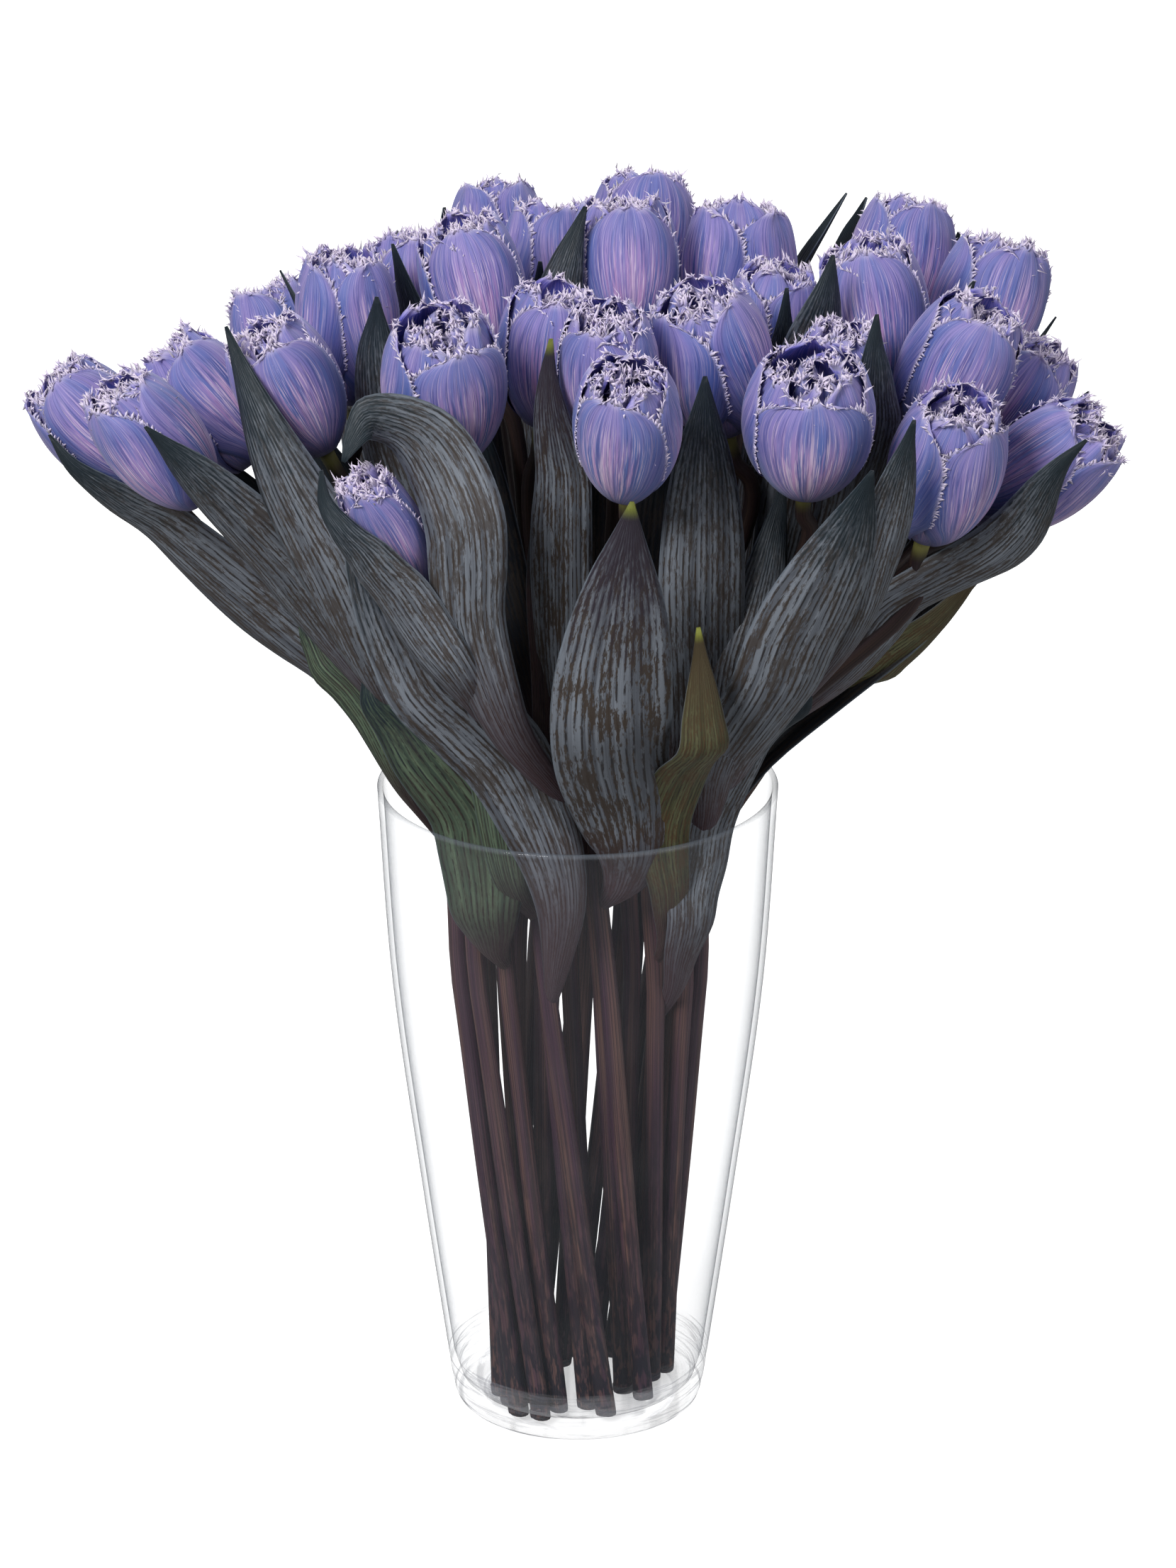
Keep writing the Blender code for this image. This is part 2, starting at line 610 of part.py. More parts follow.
def fill_hollows(mesh):
    """Removes the inner shells that a union leaves where blades seal a space, and loose scraps."""
    shape = bmesh.new()
    shape.from_mesh(mesh)
    bmesh.ops.triangulate(shape, faces=shape.faces)
    waiting = set(shape.faces)
    shells = []
    while waiting:
        front = [waiting.pop()]
        shell = list(front)
        while front:
            face = front.pop()
            for edge in face.edges:
                for other in edge.link_faces:
                    if other in waiting:
                        waiting.remove(other)
                        front.append(other)
                        shell.append(other)
        shells.append(shell)
    shells.sort(key=shell_volume)
    loose = [face for shell in shells[:-1] for face in shell]
    bmesh.ops.delete(shape, geom=loose, context="FACES")
    shape.to_mesh(mesh)
    shape.free()


def joined(name, pieces, parts, material):
    """One solid from pieces that run into each other."""
    body, *rest = pieces
    if rest:
        group = bpy.data.collections.new(name + "_pieces")
        for piece in rest:
            group.objects.link(piece)
        union = body.modifiers.new("union", "BOOLEAN")
        union.operand_type = "COLLECTION"
        union.collection = group
        union.operation = "UNION"
        union.solver = "MANIFOLD"
        bpy.context.view_layer.update()
    graph = bpy.context.evaluated_depsgraph_get()
    mesh = bpy.data.meshes.new_from_object(body.evaluated_get(graph))
    mesh.name = name
    mesh.materials.clear()
    fill_hollows(mesh)
    for piece in pieces:
        bpy.data.objects.remove(piece, do_unlink=True)
    if rest:
        bpy.data.collections.remove(group)
    return new_object(name, mesh, parts, material)


def vase(parts, material):
    """The glass, turned from one profile: floor, inner wall, rim and outer wall to the foot."""
    floor_radius = VASE_OUTLINE[2][1] - VASE_WALL - FLOOR_CORNER
    inner = [(0.0, FLOOR_HEIGHT), (floor_radius, FLOOR_HEIGHT)]
    inner += [(r - VASE_WALL, z) for z, r in VASE_OUTLINE[3:]]
    rim = [(VASE_OUTLINE[-1][1] - VASE_WALL / 2, VASE_HEIGHT)]
    outer = [(r, z) for z, r in reversed(VASE_OUTLINE)]
    profile = inner + rim + outer + [(0.0, 0.0)]
    mesh = bpy.data.meshes.new("vase")
    mesh.from_pydata(
        [(r * MM, 0.0, z * MM) for r, z in profile],
        [(i, i + 1) for i in range(len(profile) - 1)],
        [],
    )
    obj = new_object("vase", mesh, parts, material)
    turn = obj.modifiers.new("turn", "SCREW")
    turn.axis = "Z"
    turn.steps = turn.render_steps = VASE_STEPS
    turn.use_merge_vertices = True
    turn.merge_threshold = 0.0001
    return obj


def inner_petals(name, bloom, collection):
    """The closed inner petals, as one form with a ragged top."""
    shape = bmesh.new()
    last = INNER_ROWS + 1
    bmesh.ops.create_uvsphere(shape, u_segments=INNER_SIDES, v_segments=last, radius=1.0)
    for vertex in shape.verts:
        polar = math.acos(max(-1.0, min(1.0, vertex.co.z)))
        ring = round((1 - polar / math.pi) * last)
        angle = math.atan2(vertex.co.y, vertex.co.x)
        side = round(angle / (2 * math.pi) * INNER_SIDES)
        if ring == 0:
            along, radius = 0.0, 0.0
        elif ring == last:
            along, radius = INNER_TOP, 0.0
        elif ring == 1:
            along, radius = 0.0, RECEPTACLE_RADIUS
        else:
            along = (ring - 1) / (INNER_ROWS - 1)
            radius = bloom.girth(along) * INNER_SHARE
            if ring == INNER_ROWS:
                along += FRINGE_LENGTH / bloom.length * INNER_TEETH[side % 2]
        vertex.co = bloom.point(angle, along, radius) * MM
    mesh = bpy.data.meshes.new(name)
    shape.to_mesh(mesh)
    shape.free()
    return new_object(name, mesh, collection)


def bloom_solid(name, bloom, parts, material):
    """Three outer petals with fringed edges round the closed inner ones."""
    pieces = [inner_petals(name + "_inner", bloom, parts)]
    for index in range(3):
        grid = petal_grid(bloom, index, PETAL_ROWS, PETAL_COLUMNS)
        pieces.append(sheet(f"{name}_petal_{index}", grid, PETAL_THICKNESS, parts))
    return joined(name, pieces, parts, material)


def crossing_groups(pieces):
    """Gathers tulips whose stems or leaves run into each other, as lists of names."""
    trees = {}
    for name, solids in pieces.items():
        trees[name] = [BVHTree.FromObject(s, bpy.context.evaluated_depsgraph_get()) for s in solids]
    group = {name: name for name in pieces}

    def root(name):
        while group[name] != name:
            name = group[name]
        return name

    names = list(pieces)
    for i, a in enumerate(names):
        for b in names[i + 1:]:
            if root(a) != root(b) and any(x.overlap(y) for x in trees[a] for y in trees[b]):
                group[root(b)] = root(a)
    gathered = {}
    for name in names:
        gathered.setdefault(root(name), []).append(name)
    return list(gathered.values())


def main():
    clear_scene()
    parts = bpy.data.collections.new("fringed_tulips")
    bpy.context.scene.collection.children.link(parts)
    glass = finish("clear_glass", (0.93, 0.96, 0.97), 0.03, 0.3)
    green = finish("dark_leaf", (0.085, 0.095, 0.1), 0.6)
    violet = finish("violet_petal", (0.17, 0.17, 0.47), 0.55)

    vase(parts, glass)
    blooms = {name: Bloom(head) for name, head in HEADS.items()}
    lines = stem_lines(blooms)
    grown = {name: [stem(f"stem_{name}", line, parts)] for name, line in lines.items()}
    for number, (tulip, width, grid) in enumerate(leaf_grids(blooms, lines, LEAF_ROWS, 2)):
        rows = [row[::2] if width < NARROW_LEAF else row for row in grid[::2]]
        grown[tulip].append(sheet(f"leaf_{number:02d}", rows, LEAF_THICKNESS, parts))
    bpy.context.view_layer.update()
    for names in crossing_groups(grown):
        solids = [solid for name in names for solid in grown[name]]
        joined("leafy_stem_" + names[0], solids, parts, green)
    for name, bloom in blooms.items():
        bloom_solid(f"bloom_{name}", bloom, parts, violet)


main()
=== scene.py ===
import math
import random
from collections import namedtuple

import bpy
import numpy as np
from mathutils import Matrix, Vector


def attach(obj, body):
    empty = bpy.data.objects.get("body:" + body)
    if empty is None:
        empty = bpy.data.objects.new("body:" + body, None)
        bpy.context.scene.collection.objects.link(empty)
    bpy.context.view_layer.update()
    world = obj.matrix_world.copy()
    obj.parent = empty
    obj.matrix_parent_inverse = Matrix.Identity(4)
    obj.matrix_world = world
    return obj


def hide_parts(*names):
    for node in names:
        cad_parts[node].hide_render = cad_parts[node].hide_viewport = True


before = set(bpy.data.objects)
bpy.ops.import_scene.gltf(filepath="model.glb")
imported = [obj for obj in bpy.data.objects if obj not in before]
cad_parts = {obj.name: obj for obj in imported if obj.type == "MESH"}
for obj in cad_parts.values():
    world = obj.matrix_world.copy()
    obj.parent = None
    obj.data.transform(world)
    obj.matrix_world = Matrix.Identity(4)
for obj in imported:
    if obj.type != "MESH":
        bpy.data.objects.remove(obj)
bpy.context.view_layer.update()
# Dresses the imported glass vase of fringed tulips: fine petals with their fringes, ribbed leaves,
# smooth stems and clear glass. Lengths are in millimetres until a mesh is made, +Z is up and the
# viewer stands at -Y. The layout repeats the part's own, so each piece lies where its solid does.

MM = 0.001

# The vase: a tall tapering tumbler with a thick foot.
VASE_HEIGHT = 305.0
VASE_WALL = 2.6
FLOOR_HEIGHT = 8.0
# Outer radius at each height, from the foot's heel to the rim.
VASE_OUTLINE = ((0, 53), (3, 57), (12, 59), (110, 72.5), (210, 85), (304, 91))

# The stems stand on the vase's floor, inside its wall.
SEAT_GAP = 0.3
STEM_FOOT_RADIUS = 4.7
STEM_TOP_RADIUS = 3.5
STEM_CUT = 4.0
# Distances below a bloom of the last points of its stem, which run down the bloom's axis.
NECK_POINTS = (46.0, 13.0, SEAT_GAP)
# The stems start in a circle on the floor, and cross the rim in a wider one that is turned from it.
# A power under 1 draws the stems of the middle heads outwards.
STEM_CIRCLE = 46.5
STEM_POWER = 0.5
RIM_CIRCLE = 79.0
RIM_POWER = 0.85
HEAD_REACH = 235.0
STEM_TWIST = math.radians(50)
# They climb in steps, and at each one they move apart. One step in a few becomes a ring.
STEM_STEP = 25.0
STEM_STEPS_A_RING = 4
STEM_TOP_LEVEL = 358.0
STEM_SPACING = 11.2
STEM_WALL_GAP = 9.0
STEM_PULL = 0.25
SPREAD_ROUNDS = 160

# The viewpoint that heads and leaves are placed from.
VIEW_DISTANCE = 3000.0
VIEW_DROP = math.radians(21.1)

# The photograph's frame in its own pixels: its height, its middle, the rim's middle, and pixels a
# millimetre there. The camera's sensor is in millimetres.
FRAME_HEIGHT = 2212
FRAME_CENTRE = (829.5, 1106)
RIM_CENTRE = (815, 1103)
RIM_SCALE = 3.11
SENSOR_WIDTH = 36.0

# Light: what the surround throws on the flowers, the floor's own glow and its reach to each side,
# the height that the lamps are aimed at, and the lamps with their names, places, watts and widths.
# Reach, height, places and widths are in metres.
SURROUND_LIGHT = 0.32
FLOOR_GLOW = 0.72
FLOOR_REACH = 6.0
LIGHT_AIM = 0.35
LIGHTS = (
    ("key", (-1.5, -2.4, 2.4), 88, 1.4),
    ("fill", (2.4, -1.8, 1.0), 14, 1.6),
    ("back", (0.4, 2.4, 2.2), 44, 1.6),
)

# Leaves.
LEAF_THICKNESS = 0.9
LEAF_ROWS = 12
LEAF_TIP_WIDTH = 1.6
# A blade's width is a half wave along it, started a little late, with its widest place moved up by
# a power over 1.
LEAF_START = 0.05
LEAF_POWER = 1.1
# How deeply a leaf clasps its stem, and the share of its length over which it opens.
CLASP_CUP = 1.1
CLASP_SHARE = 0.1
# A leaf starts at most this far below its first point and no higher than the top level, and the
# second leaf of a stem starts higher by the stagger.
LEAF_RUN = 70.0
LEAF_TOP_LEVEL = 315.0
LEAVES_A_STEM = 2
LEAF_STAGGER = 26.0
# Blades face away from a line this far behind the axis, or before it on the far side. A facing
# under 1 turns the blades at the sides further to the viewer.
LEAF_TURN = 105.0
LEAF_FACING = 0.6
# The room that a blade keeps: round a bloom, below and above it, and inside the glass, from which
# it may lean out over the rim.
LEAF_CLEARANCE = 4.5
BLOOM_REACH = 70.0
ROOM_BELOW = 6.0
ROOM_ABOVE = 9.0
GLASS_CLEARANCE = 3.9
RIM_ROOM = 40.0
RIM_LEAN = 0.5
# A blade is moved to that room in rounds, and a row takes its neighbours along by a share.
EASE_ROUNDS = 14
EASE_SHARE = 0.6
EASE_ENOUGH = 0.05

# The leaves of the far side, with ranges for where they start, their widths, how far their tips
# rise above a bloom's base, and their drift sideways. They fan out from a line before the axis, a
# step away from the stem at the rim, beside the neck and at the tip.
REAR_HEIGHTS = (190, 240)
REAR_WIDTHS = (28, 38)
REAR_TIPS = (25, 50)
REAR_DRIFT = 14
REAR_CENTRE = 30.0
REAR_RIM_STEP = 6.0
REAR_NECK = 50.0
REAR_NECK_STEP = 22.0
REAR_TIP_STEP = 12.0
REAR_CUP = 0.35
REAR_SEED = 7

# Blooms. The cup's radius follows the root of a sine that ends before its half wave does.
CUP_START = 0.012
CUP_WAVE = 0.87
HEAD_BACK_LEAN = 0.0042
PETAL_ROOT = 0.05
RECEPTACLE_RADIUS = 6.5

# right and up are seen from the viewpoint, in the plane through the rim's middle, and away is
# the depth behind it. lean is the tilt to the right that the viewer sees.
Head = namedtuple("Head", "right up away length width lean turn")
HEADS = {
    "01": Head(-215, 159, 5, 68, 46, -42, 20),
    "02": Head(-190, 152, -45, 68, 44, -36, 75),
    "03": Head(-166, 170, 35, 68, 46, -38, 40),
    "04": Head(-129, 177, -45, 66, 46, -25, 10),
    "05": Head(-104, 204, 20, 70, 46, -4, 50),
    "06": Head(-60, 177, -82, 74, 54, -3, 28),
    "07": Head(-84, 113, -118, 68, 30, -26, 0),
    "08": Head(-46, 221, 15, 70, 46, -14, 5),
    "09": Head(-36, 238, 150, 68, 46, -4, 60),
    "10": Head(-13, 192, -30, 66, 46, 6, 0),
    "11": Head(-14, 229, 95, 66, 44, 2, 35),
    "12": Head(29, 241, 120, 70, 50, 4, 15),
    "13": Head(23, 157, -135, 74, 46, 0, -22),
    "14": Head(14, 183, -75, 68, 44, -2, 90),
    "15": Head(61, 189, -45, 70, 54, -12, 62),
    "16": Head(73, 226, 75, 72, 52, 0, 58),
    "17": Head(105, 160, -105, 70, 57, 2, 0),
    "18": Head(136, 209, 5, 72, 48, -10, 0),
    "19": Head(145, 229, 88, 70, 48, 12, 30),
    "20": Head(88, 200, 22, 66, 44, 6, 45),
    "21": Head(117, 175, -50, 66, 42, 8, 80),
    "22": Head(184, 212, 54, 72, 50, 20, 25),
    "23": Head(170, 184, -40, 72, 50, 24, 0),
    "24": Head(166, 140, -90, 74, 50, 12, 48),
    "25": Head(208, 140, -49, 74, 48, 50, 70),
    "26": Head(195, 168, -1, 68, 44, 32, 100),
    "27": Head(-73, 216, 80, 66, 44, -6, 15),
    "28": Head(-133, 194, 95, 64, 44, -20, 85),
    "29": Head(21, 228, 45, 72, 50, 0, 8),
}

# A leaf grows at a height or above it from the nearest stem with room for it, and its middle line
# goes on through points given as (right, up, away). The roll turns the blade about that line
# towards its tip, in degrees, cup is how deeply its edges bend in, and look names its finish.
Leaf = namedtuple("Leaf", "height width cup points look roll", defaults=("slate", 0))
LEAVES = (
    # Far left, under head 01.
    Leaf(235, 38, 0.35, ((-113, 46, -5), (-159, 87, -8), (-205, 127, -12), (-237, 161, -12))),
    # Left, under head 02.
    Leaf(225, 36, 0.35, ((-106, 59, -48), (-131, 93, -62), (-168, 132, -76), (-196, 161, -80))),
    # Long upright blade left of head 04.
    Leaf(215, 38, 0.35, ((-88, 42, -72), (-109, 91, -88), (-138, 147, -82), (-159, 207, -60))),
    # Twisted blade crossing the rim.
    Leaf(160, 42, 0.3, (
        (-8, -54, -78), (-34, -1, -98), (-67, 47, -100),
        (-92, 95, -92), (-106, 138, -84),
    ), roll=70),
    # Blade clasping the narrow bud.
    Leaf(250, 26, 0.5, ((-52, 42, -128), (-75, 74, -136), (-95, 109, -138), (-111, 145, -134))),
    # Blade whose tip droops over the bud.
    Leaf(262, 36, 0.3, (
        (-29, 17, -112), (-49, 70, -132), (-61, 116, -134), (-77, 155, -128),
        (-95, 164, -134), (-106, 145, -142),
    )),
    # Broad middle blade.
    Leaf(205, 53, 0.3, ((28, -37, -95), (16, 20, -136), (20, 77, -152), (25, 127, -158)), "tipped"),
    # Short olive blade.
    Leaf(200, 26, 0.3, ((54, -44, -92), (58, 13, -128), (55, 70, -132)), "olive"),
    # Upright blade below head 15.
    Leaf(215, 38, 0.3, ((55, 17, -78), (57, 84, -98), (58, 141, -92), (58, 184, -84))),
    # Narrow upright blade.
    Leaf(215, 27, 0.35, ((-5, 34, -74), (-7, 99, -88), (-7, 155, -92), (-9, 202, -90)), "tipped"),
    # Dark reddish blade.
    Leaf(220, 16, 0.3, ((-13, 27, -70), (-16, 84, -80), (-19, 127, -84)), "red"),
    # Blade behind head 17.
    Leaf(215, 30, 0.35, ((67, -1, -84), (76, 49, -92), (86, 91, -80), (94, 138, -66))),
    # Broad right blade.
    Leaf(225, 42, 0.35, ((76, 4, -88), (99, 59, -122), (121, 104, -136), (134, 141, -146))),
    # Blade in front of head 24.
    Leaf(240, 24, 0.35, ((120, 59, -98), (136, 99, -124), (146, 134, -136), (153, 164, -140))),
    # Far right blade.
    Leaf(235, 34, 0.35, ((120, 48, -45), (158, 90, -72), (200, 123, -88), (231, 155, -92))),
    # Olive blade under it.
    Leaf(235, 24, 0.35, ((111, 24, 0), (133, 47, -10), (163, 71, -18), (187, 100, -22)), "olive"),
    # Dark blade right of head 26.
    Leaf(245, 28, 0.35, ((143, 84, 10), (179, 123, 30), (211, 155, 42), (232, 177, 46))),
    # Dark blade right of head 22.
    Leaf(250, 26, 0.35, ((147, 106, 40), (175, 145, 62), (200, 184, 82), (217, 211, 90))),
    # Blade left of head 22.
    Leaf(240, 34, 0.35, ((126, 84, 10), (140, 145, 4), (159, 195, 4), (180, 227, 6))),
    # Tallest blade on the right.
    Leaf(235, 42, 0.35, ((69, 91, 70), (81, 163, 100), (97, 219, 108), (122, 267, 112))),
    # Blade behind the tallest.
    Leaf(240, 28, 0.35, ((90, 106, 90), (104, 177, 120), (120, 234, 130), (131, 265, 128))),
    # Dark blade in front of head 18.
    Leaf(240, 36, 0.35, ((90, 84, -20), (106, 152, -30), (112, 202, -34), (116, 239, -30))),
    # Blade between heads 18 and 23.
    Leaf(235, 30, 0.35, ((108, 77, -60), (127, 134, -74), (134, 173, -80), (136, 212, -78))),
    # Slim blade before head 20.
    Leaf(245, 20, 0.35, ((76, 84, -10), (86, 155, -14), (93, 191, -14), (95, 224, -12))),
    # Blade between heads 11 and 29.
    Leaf(240, 28, 0.35, ((3, 106, 30), (-3, 170, 24), (-2, 223, 24), (4, 261, 30))),
    # Blade before head 11.
    Leaf(240, 20, 0.35, ((-4, 99, 40), (-16, 155, 44), (-18, 202, 46), (-17, 236, 44))),
    # Tip behind head 12.
    Leaf(245, 20, 0.3, ((12, 106, 90), (11, 177, 132), (10, 227, 150), (10, 263, 156))),
    # Tip right of head 09.
    Leaf(245, 21, 0.3, ((-17, 99, 90), (-20, 170, 150), (-19, 219, 180), (-17, 254, 184))),
    # Tip left of head 09.
    Leaf(235, 21, 0.3, ((-34, 91, 90), (-51, 170, 140), (-55, 219, 162), (-54, 261, 164))),
    # Tip behind head 27.
    Leaf(240, 26, 0.3, ((-49, 84, 60), (-70, 155, 100), (-79, 205, 120), (-82, 250, 124))),
    # Blade before head 27.
    Leaf(235, 32, 0.35, ((-45, 77, 30), (-64, 141, 38), (-74, 198, 44), (-84, 244, 46))),
    # Blade beside head 28.
    Leaf(240, 26, 0.35, ((-70, 91, 60), (-102, 141, 70), (-122, 191, 76), (-135, 232, 80))),
    # Blade before head 05.
    Leaf(235, 36, 0.35, ((-56, 84, -20), (-81, 141, -18), (-91, 184, -16), (-91, 220, -14))),
    # Green blade over the left rim.
    Leaf(230, 24, 0.35, ((-91, 4, -35), (-109, 42, -30), (-125, 74, -10), (-141, 106, 0)), "green"),
    # Broad green blade inside the left rim.
    Leaf(170, 46, 0.3, ((-49, -65, -72), (-67, -22, -80), (-85, 24, -66), (-97, 63, -50)), "green"),
    # Narrow blade at the left.
    Leaf(190, 24, 0.3, ((-31, -44, -76), (-40, 13, -70), (-49, 70, -66), (-54, 109, -60)), "green"),
    # Blade folded over the right rim.
    Leaf(180, 30, 0.3, ((60, -69, -66), (78, -26, -70), (94, 13, -74), (106, 42, -70))),
    # Dark blade behind the right rim.
    Leaf(240, 20, 0.3, ((88, 4, 5), (106, 24, 15), (120, 40, 22), (128, 52, 26))),
    # Five in the middle of the bunch, painted near-black as shade, which close the dark behind the
    # front ones.
    Leaf(235, 34, 0.3, ((28, 34, -30), (38, 90, -24), (42, 140, -18), (45, 182, -12)), "inside"),
    Leaf(235, 32, 0.3, ((-24, 40, -20), (-40, 96, -10), (-48, 146, -6), (-54, 186, -4)), "inside"),
    Leaf(235, 32, 0.3, ((62, 40, -10), (80, 92, 0), (92, 138, 6), (102, 176, 10)), "inside"),
    Leaf(235, 30, 0.3, ((-66, 56, 0), (-94, 102, 4), (-114, 142, 8), (-130, 172, 12)), "inside"),
    Leaf(235, 32, 0.3, ((2, 44, 10), (4, 104, 16), (6, 154, 20), (8, 196, 24)), "inside"),
)
# Heads at the back, which carry a leaf on the far side of the bunch.
REAR_HEADS = ("03", "28", "09", "12", "19", "22", "26", "16")


def seen_at(right, up, away):
    """The point that the viewer sees right and up of the rim's middle, at a depth behind it."""
    middle = Vector((0, 0, VASE_HEIGHT))
    eye = middle + Vector((0, -VIEW_DISTANCE, VIEW_DISTANCE * math.tan(VIEW_DROP)))
    plane = middle + Vector((right, up * math.sin(VIEW_DROP), up * math.cos(VIEW_DROP)))
    ray = plane - eye
    return eye + ray * ((away + VIEW_DISTANCE) / ray.y)


def vase_radius(height):
    """The vase's outer radius at a height."""
    for (low, r_low), (high, r_high) in zip(VASE_OUTLINE, VASE_OUTLINE[1:]):
        if height <= high:
            share = max(0.0, (height - low) / (high - low))
            return r_low + (r_high - r_low) * share
    return VASE_OUTLINE[-1][1]


def through(points, share):
    """The point at a share of the way along a smooth curve through the points."""
    spans = len(points) - 1
    index = min(int(share * spans), spans - 1)
    t = share * spans - index
    b, c = points[index], points[index + 1]
    a = points[index - 1] if index else b * 2 - c
    d = points[index + 2] if index + 2 <= spans else c * 2 - b
    bend = (a * 2 - b * 5 + c * 4 - d) * t**2 + (b * 3 - a - c * 3 + d) * t**3
    return b + ((c - a) * t + bend) / 2


class Bloom:
    """Where one bloom sits, and the form that its petals follow."""

    def __init__(self, head):
        self.length = head.length
        self.radius = head.width / 2
        slope = Vector((math.tan(math.radians(head.lean)), head.away * HEAD_BACK_LEAN, 1.0))
        self.axis = slope.normalized()
        self.base = seen_at(head.right, head.up, head.away) - self.axis * head.length / 2
        front = Vector((0, -1, 0))
        front = (front - self.axis * front.dot(self.axis)).normalized()
        self.front = Matrix.Rotation(math.radians(head.turn), 3, self.axis) @ front
        self.side = self.axis.cross(self.front)

    def girth(self, along):
        """The radius of the cup at a share of the bloom's length."""
        along = min(max(along, 0.0), 1.0)
        return self.radius * math.sin(math.pi * (CUP_START + CUP_WAVE * along)) ** 0.5


def spread(places, spacing, limit):
    """Moves points in a level plane apart until they are a spacing from each other."""
    places = [place.copy() for place in places]
    for _ in range(SPREAD_ROUNDS):
        for i, a in enumerate(places):
            for b in places[i + 1:]:
                apart = b - a
                short = spacing - apart.length
                if short > 0:
                    push = apart.normalized() * short / 2
                    a -= push
                    b += push
        for place in places:
            if place.length > limit:
                place *= limit / place.length
    return places


def stem_lines(blooms):
    """The middle line of each stem, from the vase's floor to its bloom.

    The stems climb level by level from a twisted ring of feet towards the heads, and at each
    level they are moved apart, so that none runs through another.
    """
    feet, rims, necks = [], [], []
    for bloom in blooms.values():
        flat = bloom.base.xy
        share = min(flat.length / HEAD_REACH, 1.0)
        outward = flat.normalized()
        feet.append(Matrix.Rotation(STEM_TWIST, 2) @ outward * STEM_CIRCLE * share**STEM_POWER)
        rims.append(outward * RIM_CIRCLE * share**RIM_POWER)
        necks.append(bloom.base - bloom.axis * NECK_POINTS[0])

    def aim(level):
        """Where each stem would be at a level if it stood alone."""
        if level <= VASE_HEIGHT:
            share = (level - FLOOR_HEIGHT) / (VASE_HEIGHT - FLOOR_HEIGHT)
            return [foot.lerp(rim, share) for foot, rim in zip(feet, rims)]
        return [
            rim.lerp(neck.xy, (level - VASE_HEIGHT) / (neck.z - VASE_HEIGHT))
            for rim, neck in zip(rims, necks)
        ]

    level = FLOOR_HEIGHT + SEAT_GAP
    places = spread(aim(level), STEM_SPACING, STEM_CIRCLE)
    lines = [[Vector((*place, level)), Vector((*place, level + STEM_CUT))] for place in places]
    step = 0
    while level + STEM_STEP < STEM_TOP_LEVEL:
        now, after = aim(level), aim(level + STEM_STEP)
        level += STEM_STEP
        step += 1
        moved = [(p + b - a).lerp(b, STEM_PULL) for p, a, b in zip(places, now, after)]
        places = spread(moved, STEM_SPACING, vase_radius(level) - VASE_WALL - STEM_WALL_GAP)
        if step % STEM_STEPS_A_RING == 0:
            for line, place in zip(lines, places):
                line.append(Vector((*place, level)))
    for line, bloom in zip(lines, blooms.values()):
        line += [bloom.base - bloom.axis * low for low in NECK_POINTS]
    return dict(zip(blooms, lines))


def stem_point_at(line, height):
    """The point of a stem's line at a height."""
    for low, high in zip(line, line[1:]):
        if height <= high.z:
            return low.lerp(high, (height - low.z) / (high.z - low.z))
    return line[-1]


def nearest_stem(lines, height, place, carried):
    """The stem that passes closest to a place at a height, among those with room for a leaf."""
    free = [name for name in lines if carried[name] < LEAVES_A_STEM]
    return min(free, key=lambda name: (stem_point_at(lines[name], height) - place).length)


def rear_leaves(blooms, lines):
    """Leaves on the far side of the bunch, where the viewer doesn't see how each one lies."""
    rng = random.Random(REAR_SEED)
    grown = []
    for name in REAR_HEADS:
        bloom = blooms[name]
        outward = Vector((bloom.base.x, bloom.base.y + REAR_CENTRE, 0)).normalized()
        drift = Vector((-outward.y, outward.x, 0)) * rng.uniform(-REAR_DRIFT, REAR_DRIFT)
        rim = stem_point_at(lines[name], VASE_HEIGHT) + outward * REAR_RIM_STEP
        middle = bloom.base - bloom.axis * REAR_NECK + outward * REAR_NECK_STEP + drift / 2
        tip = bloom.base + bloom.axis * rng.uniform(*REAR_TIPS) + drift
        tip += outward * (bloom.radius + REAR_TIP_STEP)
        leaf = Leaf(rng.uniform(*REAR_HEIGHTS), rng.uniform(*REAR_WIDTHS), REAR_CUP, ())
        grown.append((leaf, [rim, middle, tip], LEAF_TURN))
    return grown


def blade_rows(line, leaf, behind, rows, columns):
    """The grid of points of a leaf blade: a list across for each row along its line.

    The blade faces away from a line that stands behind the vase's axis, which turns the blades
    at the sides to the viewer, or before it for the blades of the far side.
    """
    grid = []
    for row in range(rows + 1):
        t = row / rows
        middle = through(line, t)
        ahead = through(line, min(t + 0.02, 1.0)) - through(line, max(t - 0.02, 0.0))
        ahead.normalize()
        outward = Vector((middle.x * LEAF_FACING, middle.y + behind, 0)).normalized()
        normal = (outward - ahead * outward.dot(ahead)).normalized()
        normal = Matrix.Rotation(math.radians(leaf.roll * t), 3, ahead) @ normal
        across = ahead.cross(normal)
        wave = math.sin(math.pi * (LEAF_START + (1 - LEAF_START) * t) ** LEAF_POWER)
        half = max(leaf.width * wave, LEAF_TIP_WIDTH) / 2
        bend = leaf.cup + (CLASP_CUP - leaf.cup) * math.exp(-t / CLASP_SHARE)
        grid.append([
            middle + across * (half * s) - normal * (bend * half * s * s)
            for s in (2 * c / columns - 1 for c in range(columns + 1))
        ])
    return grid


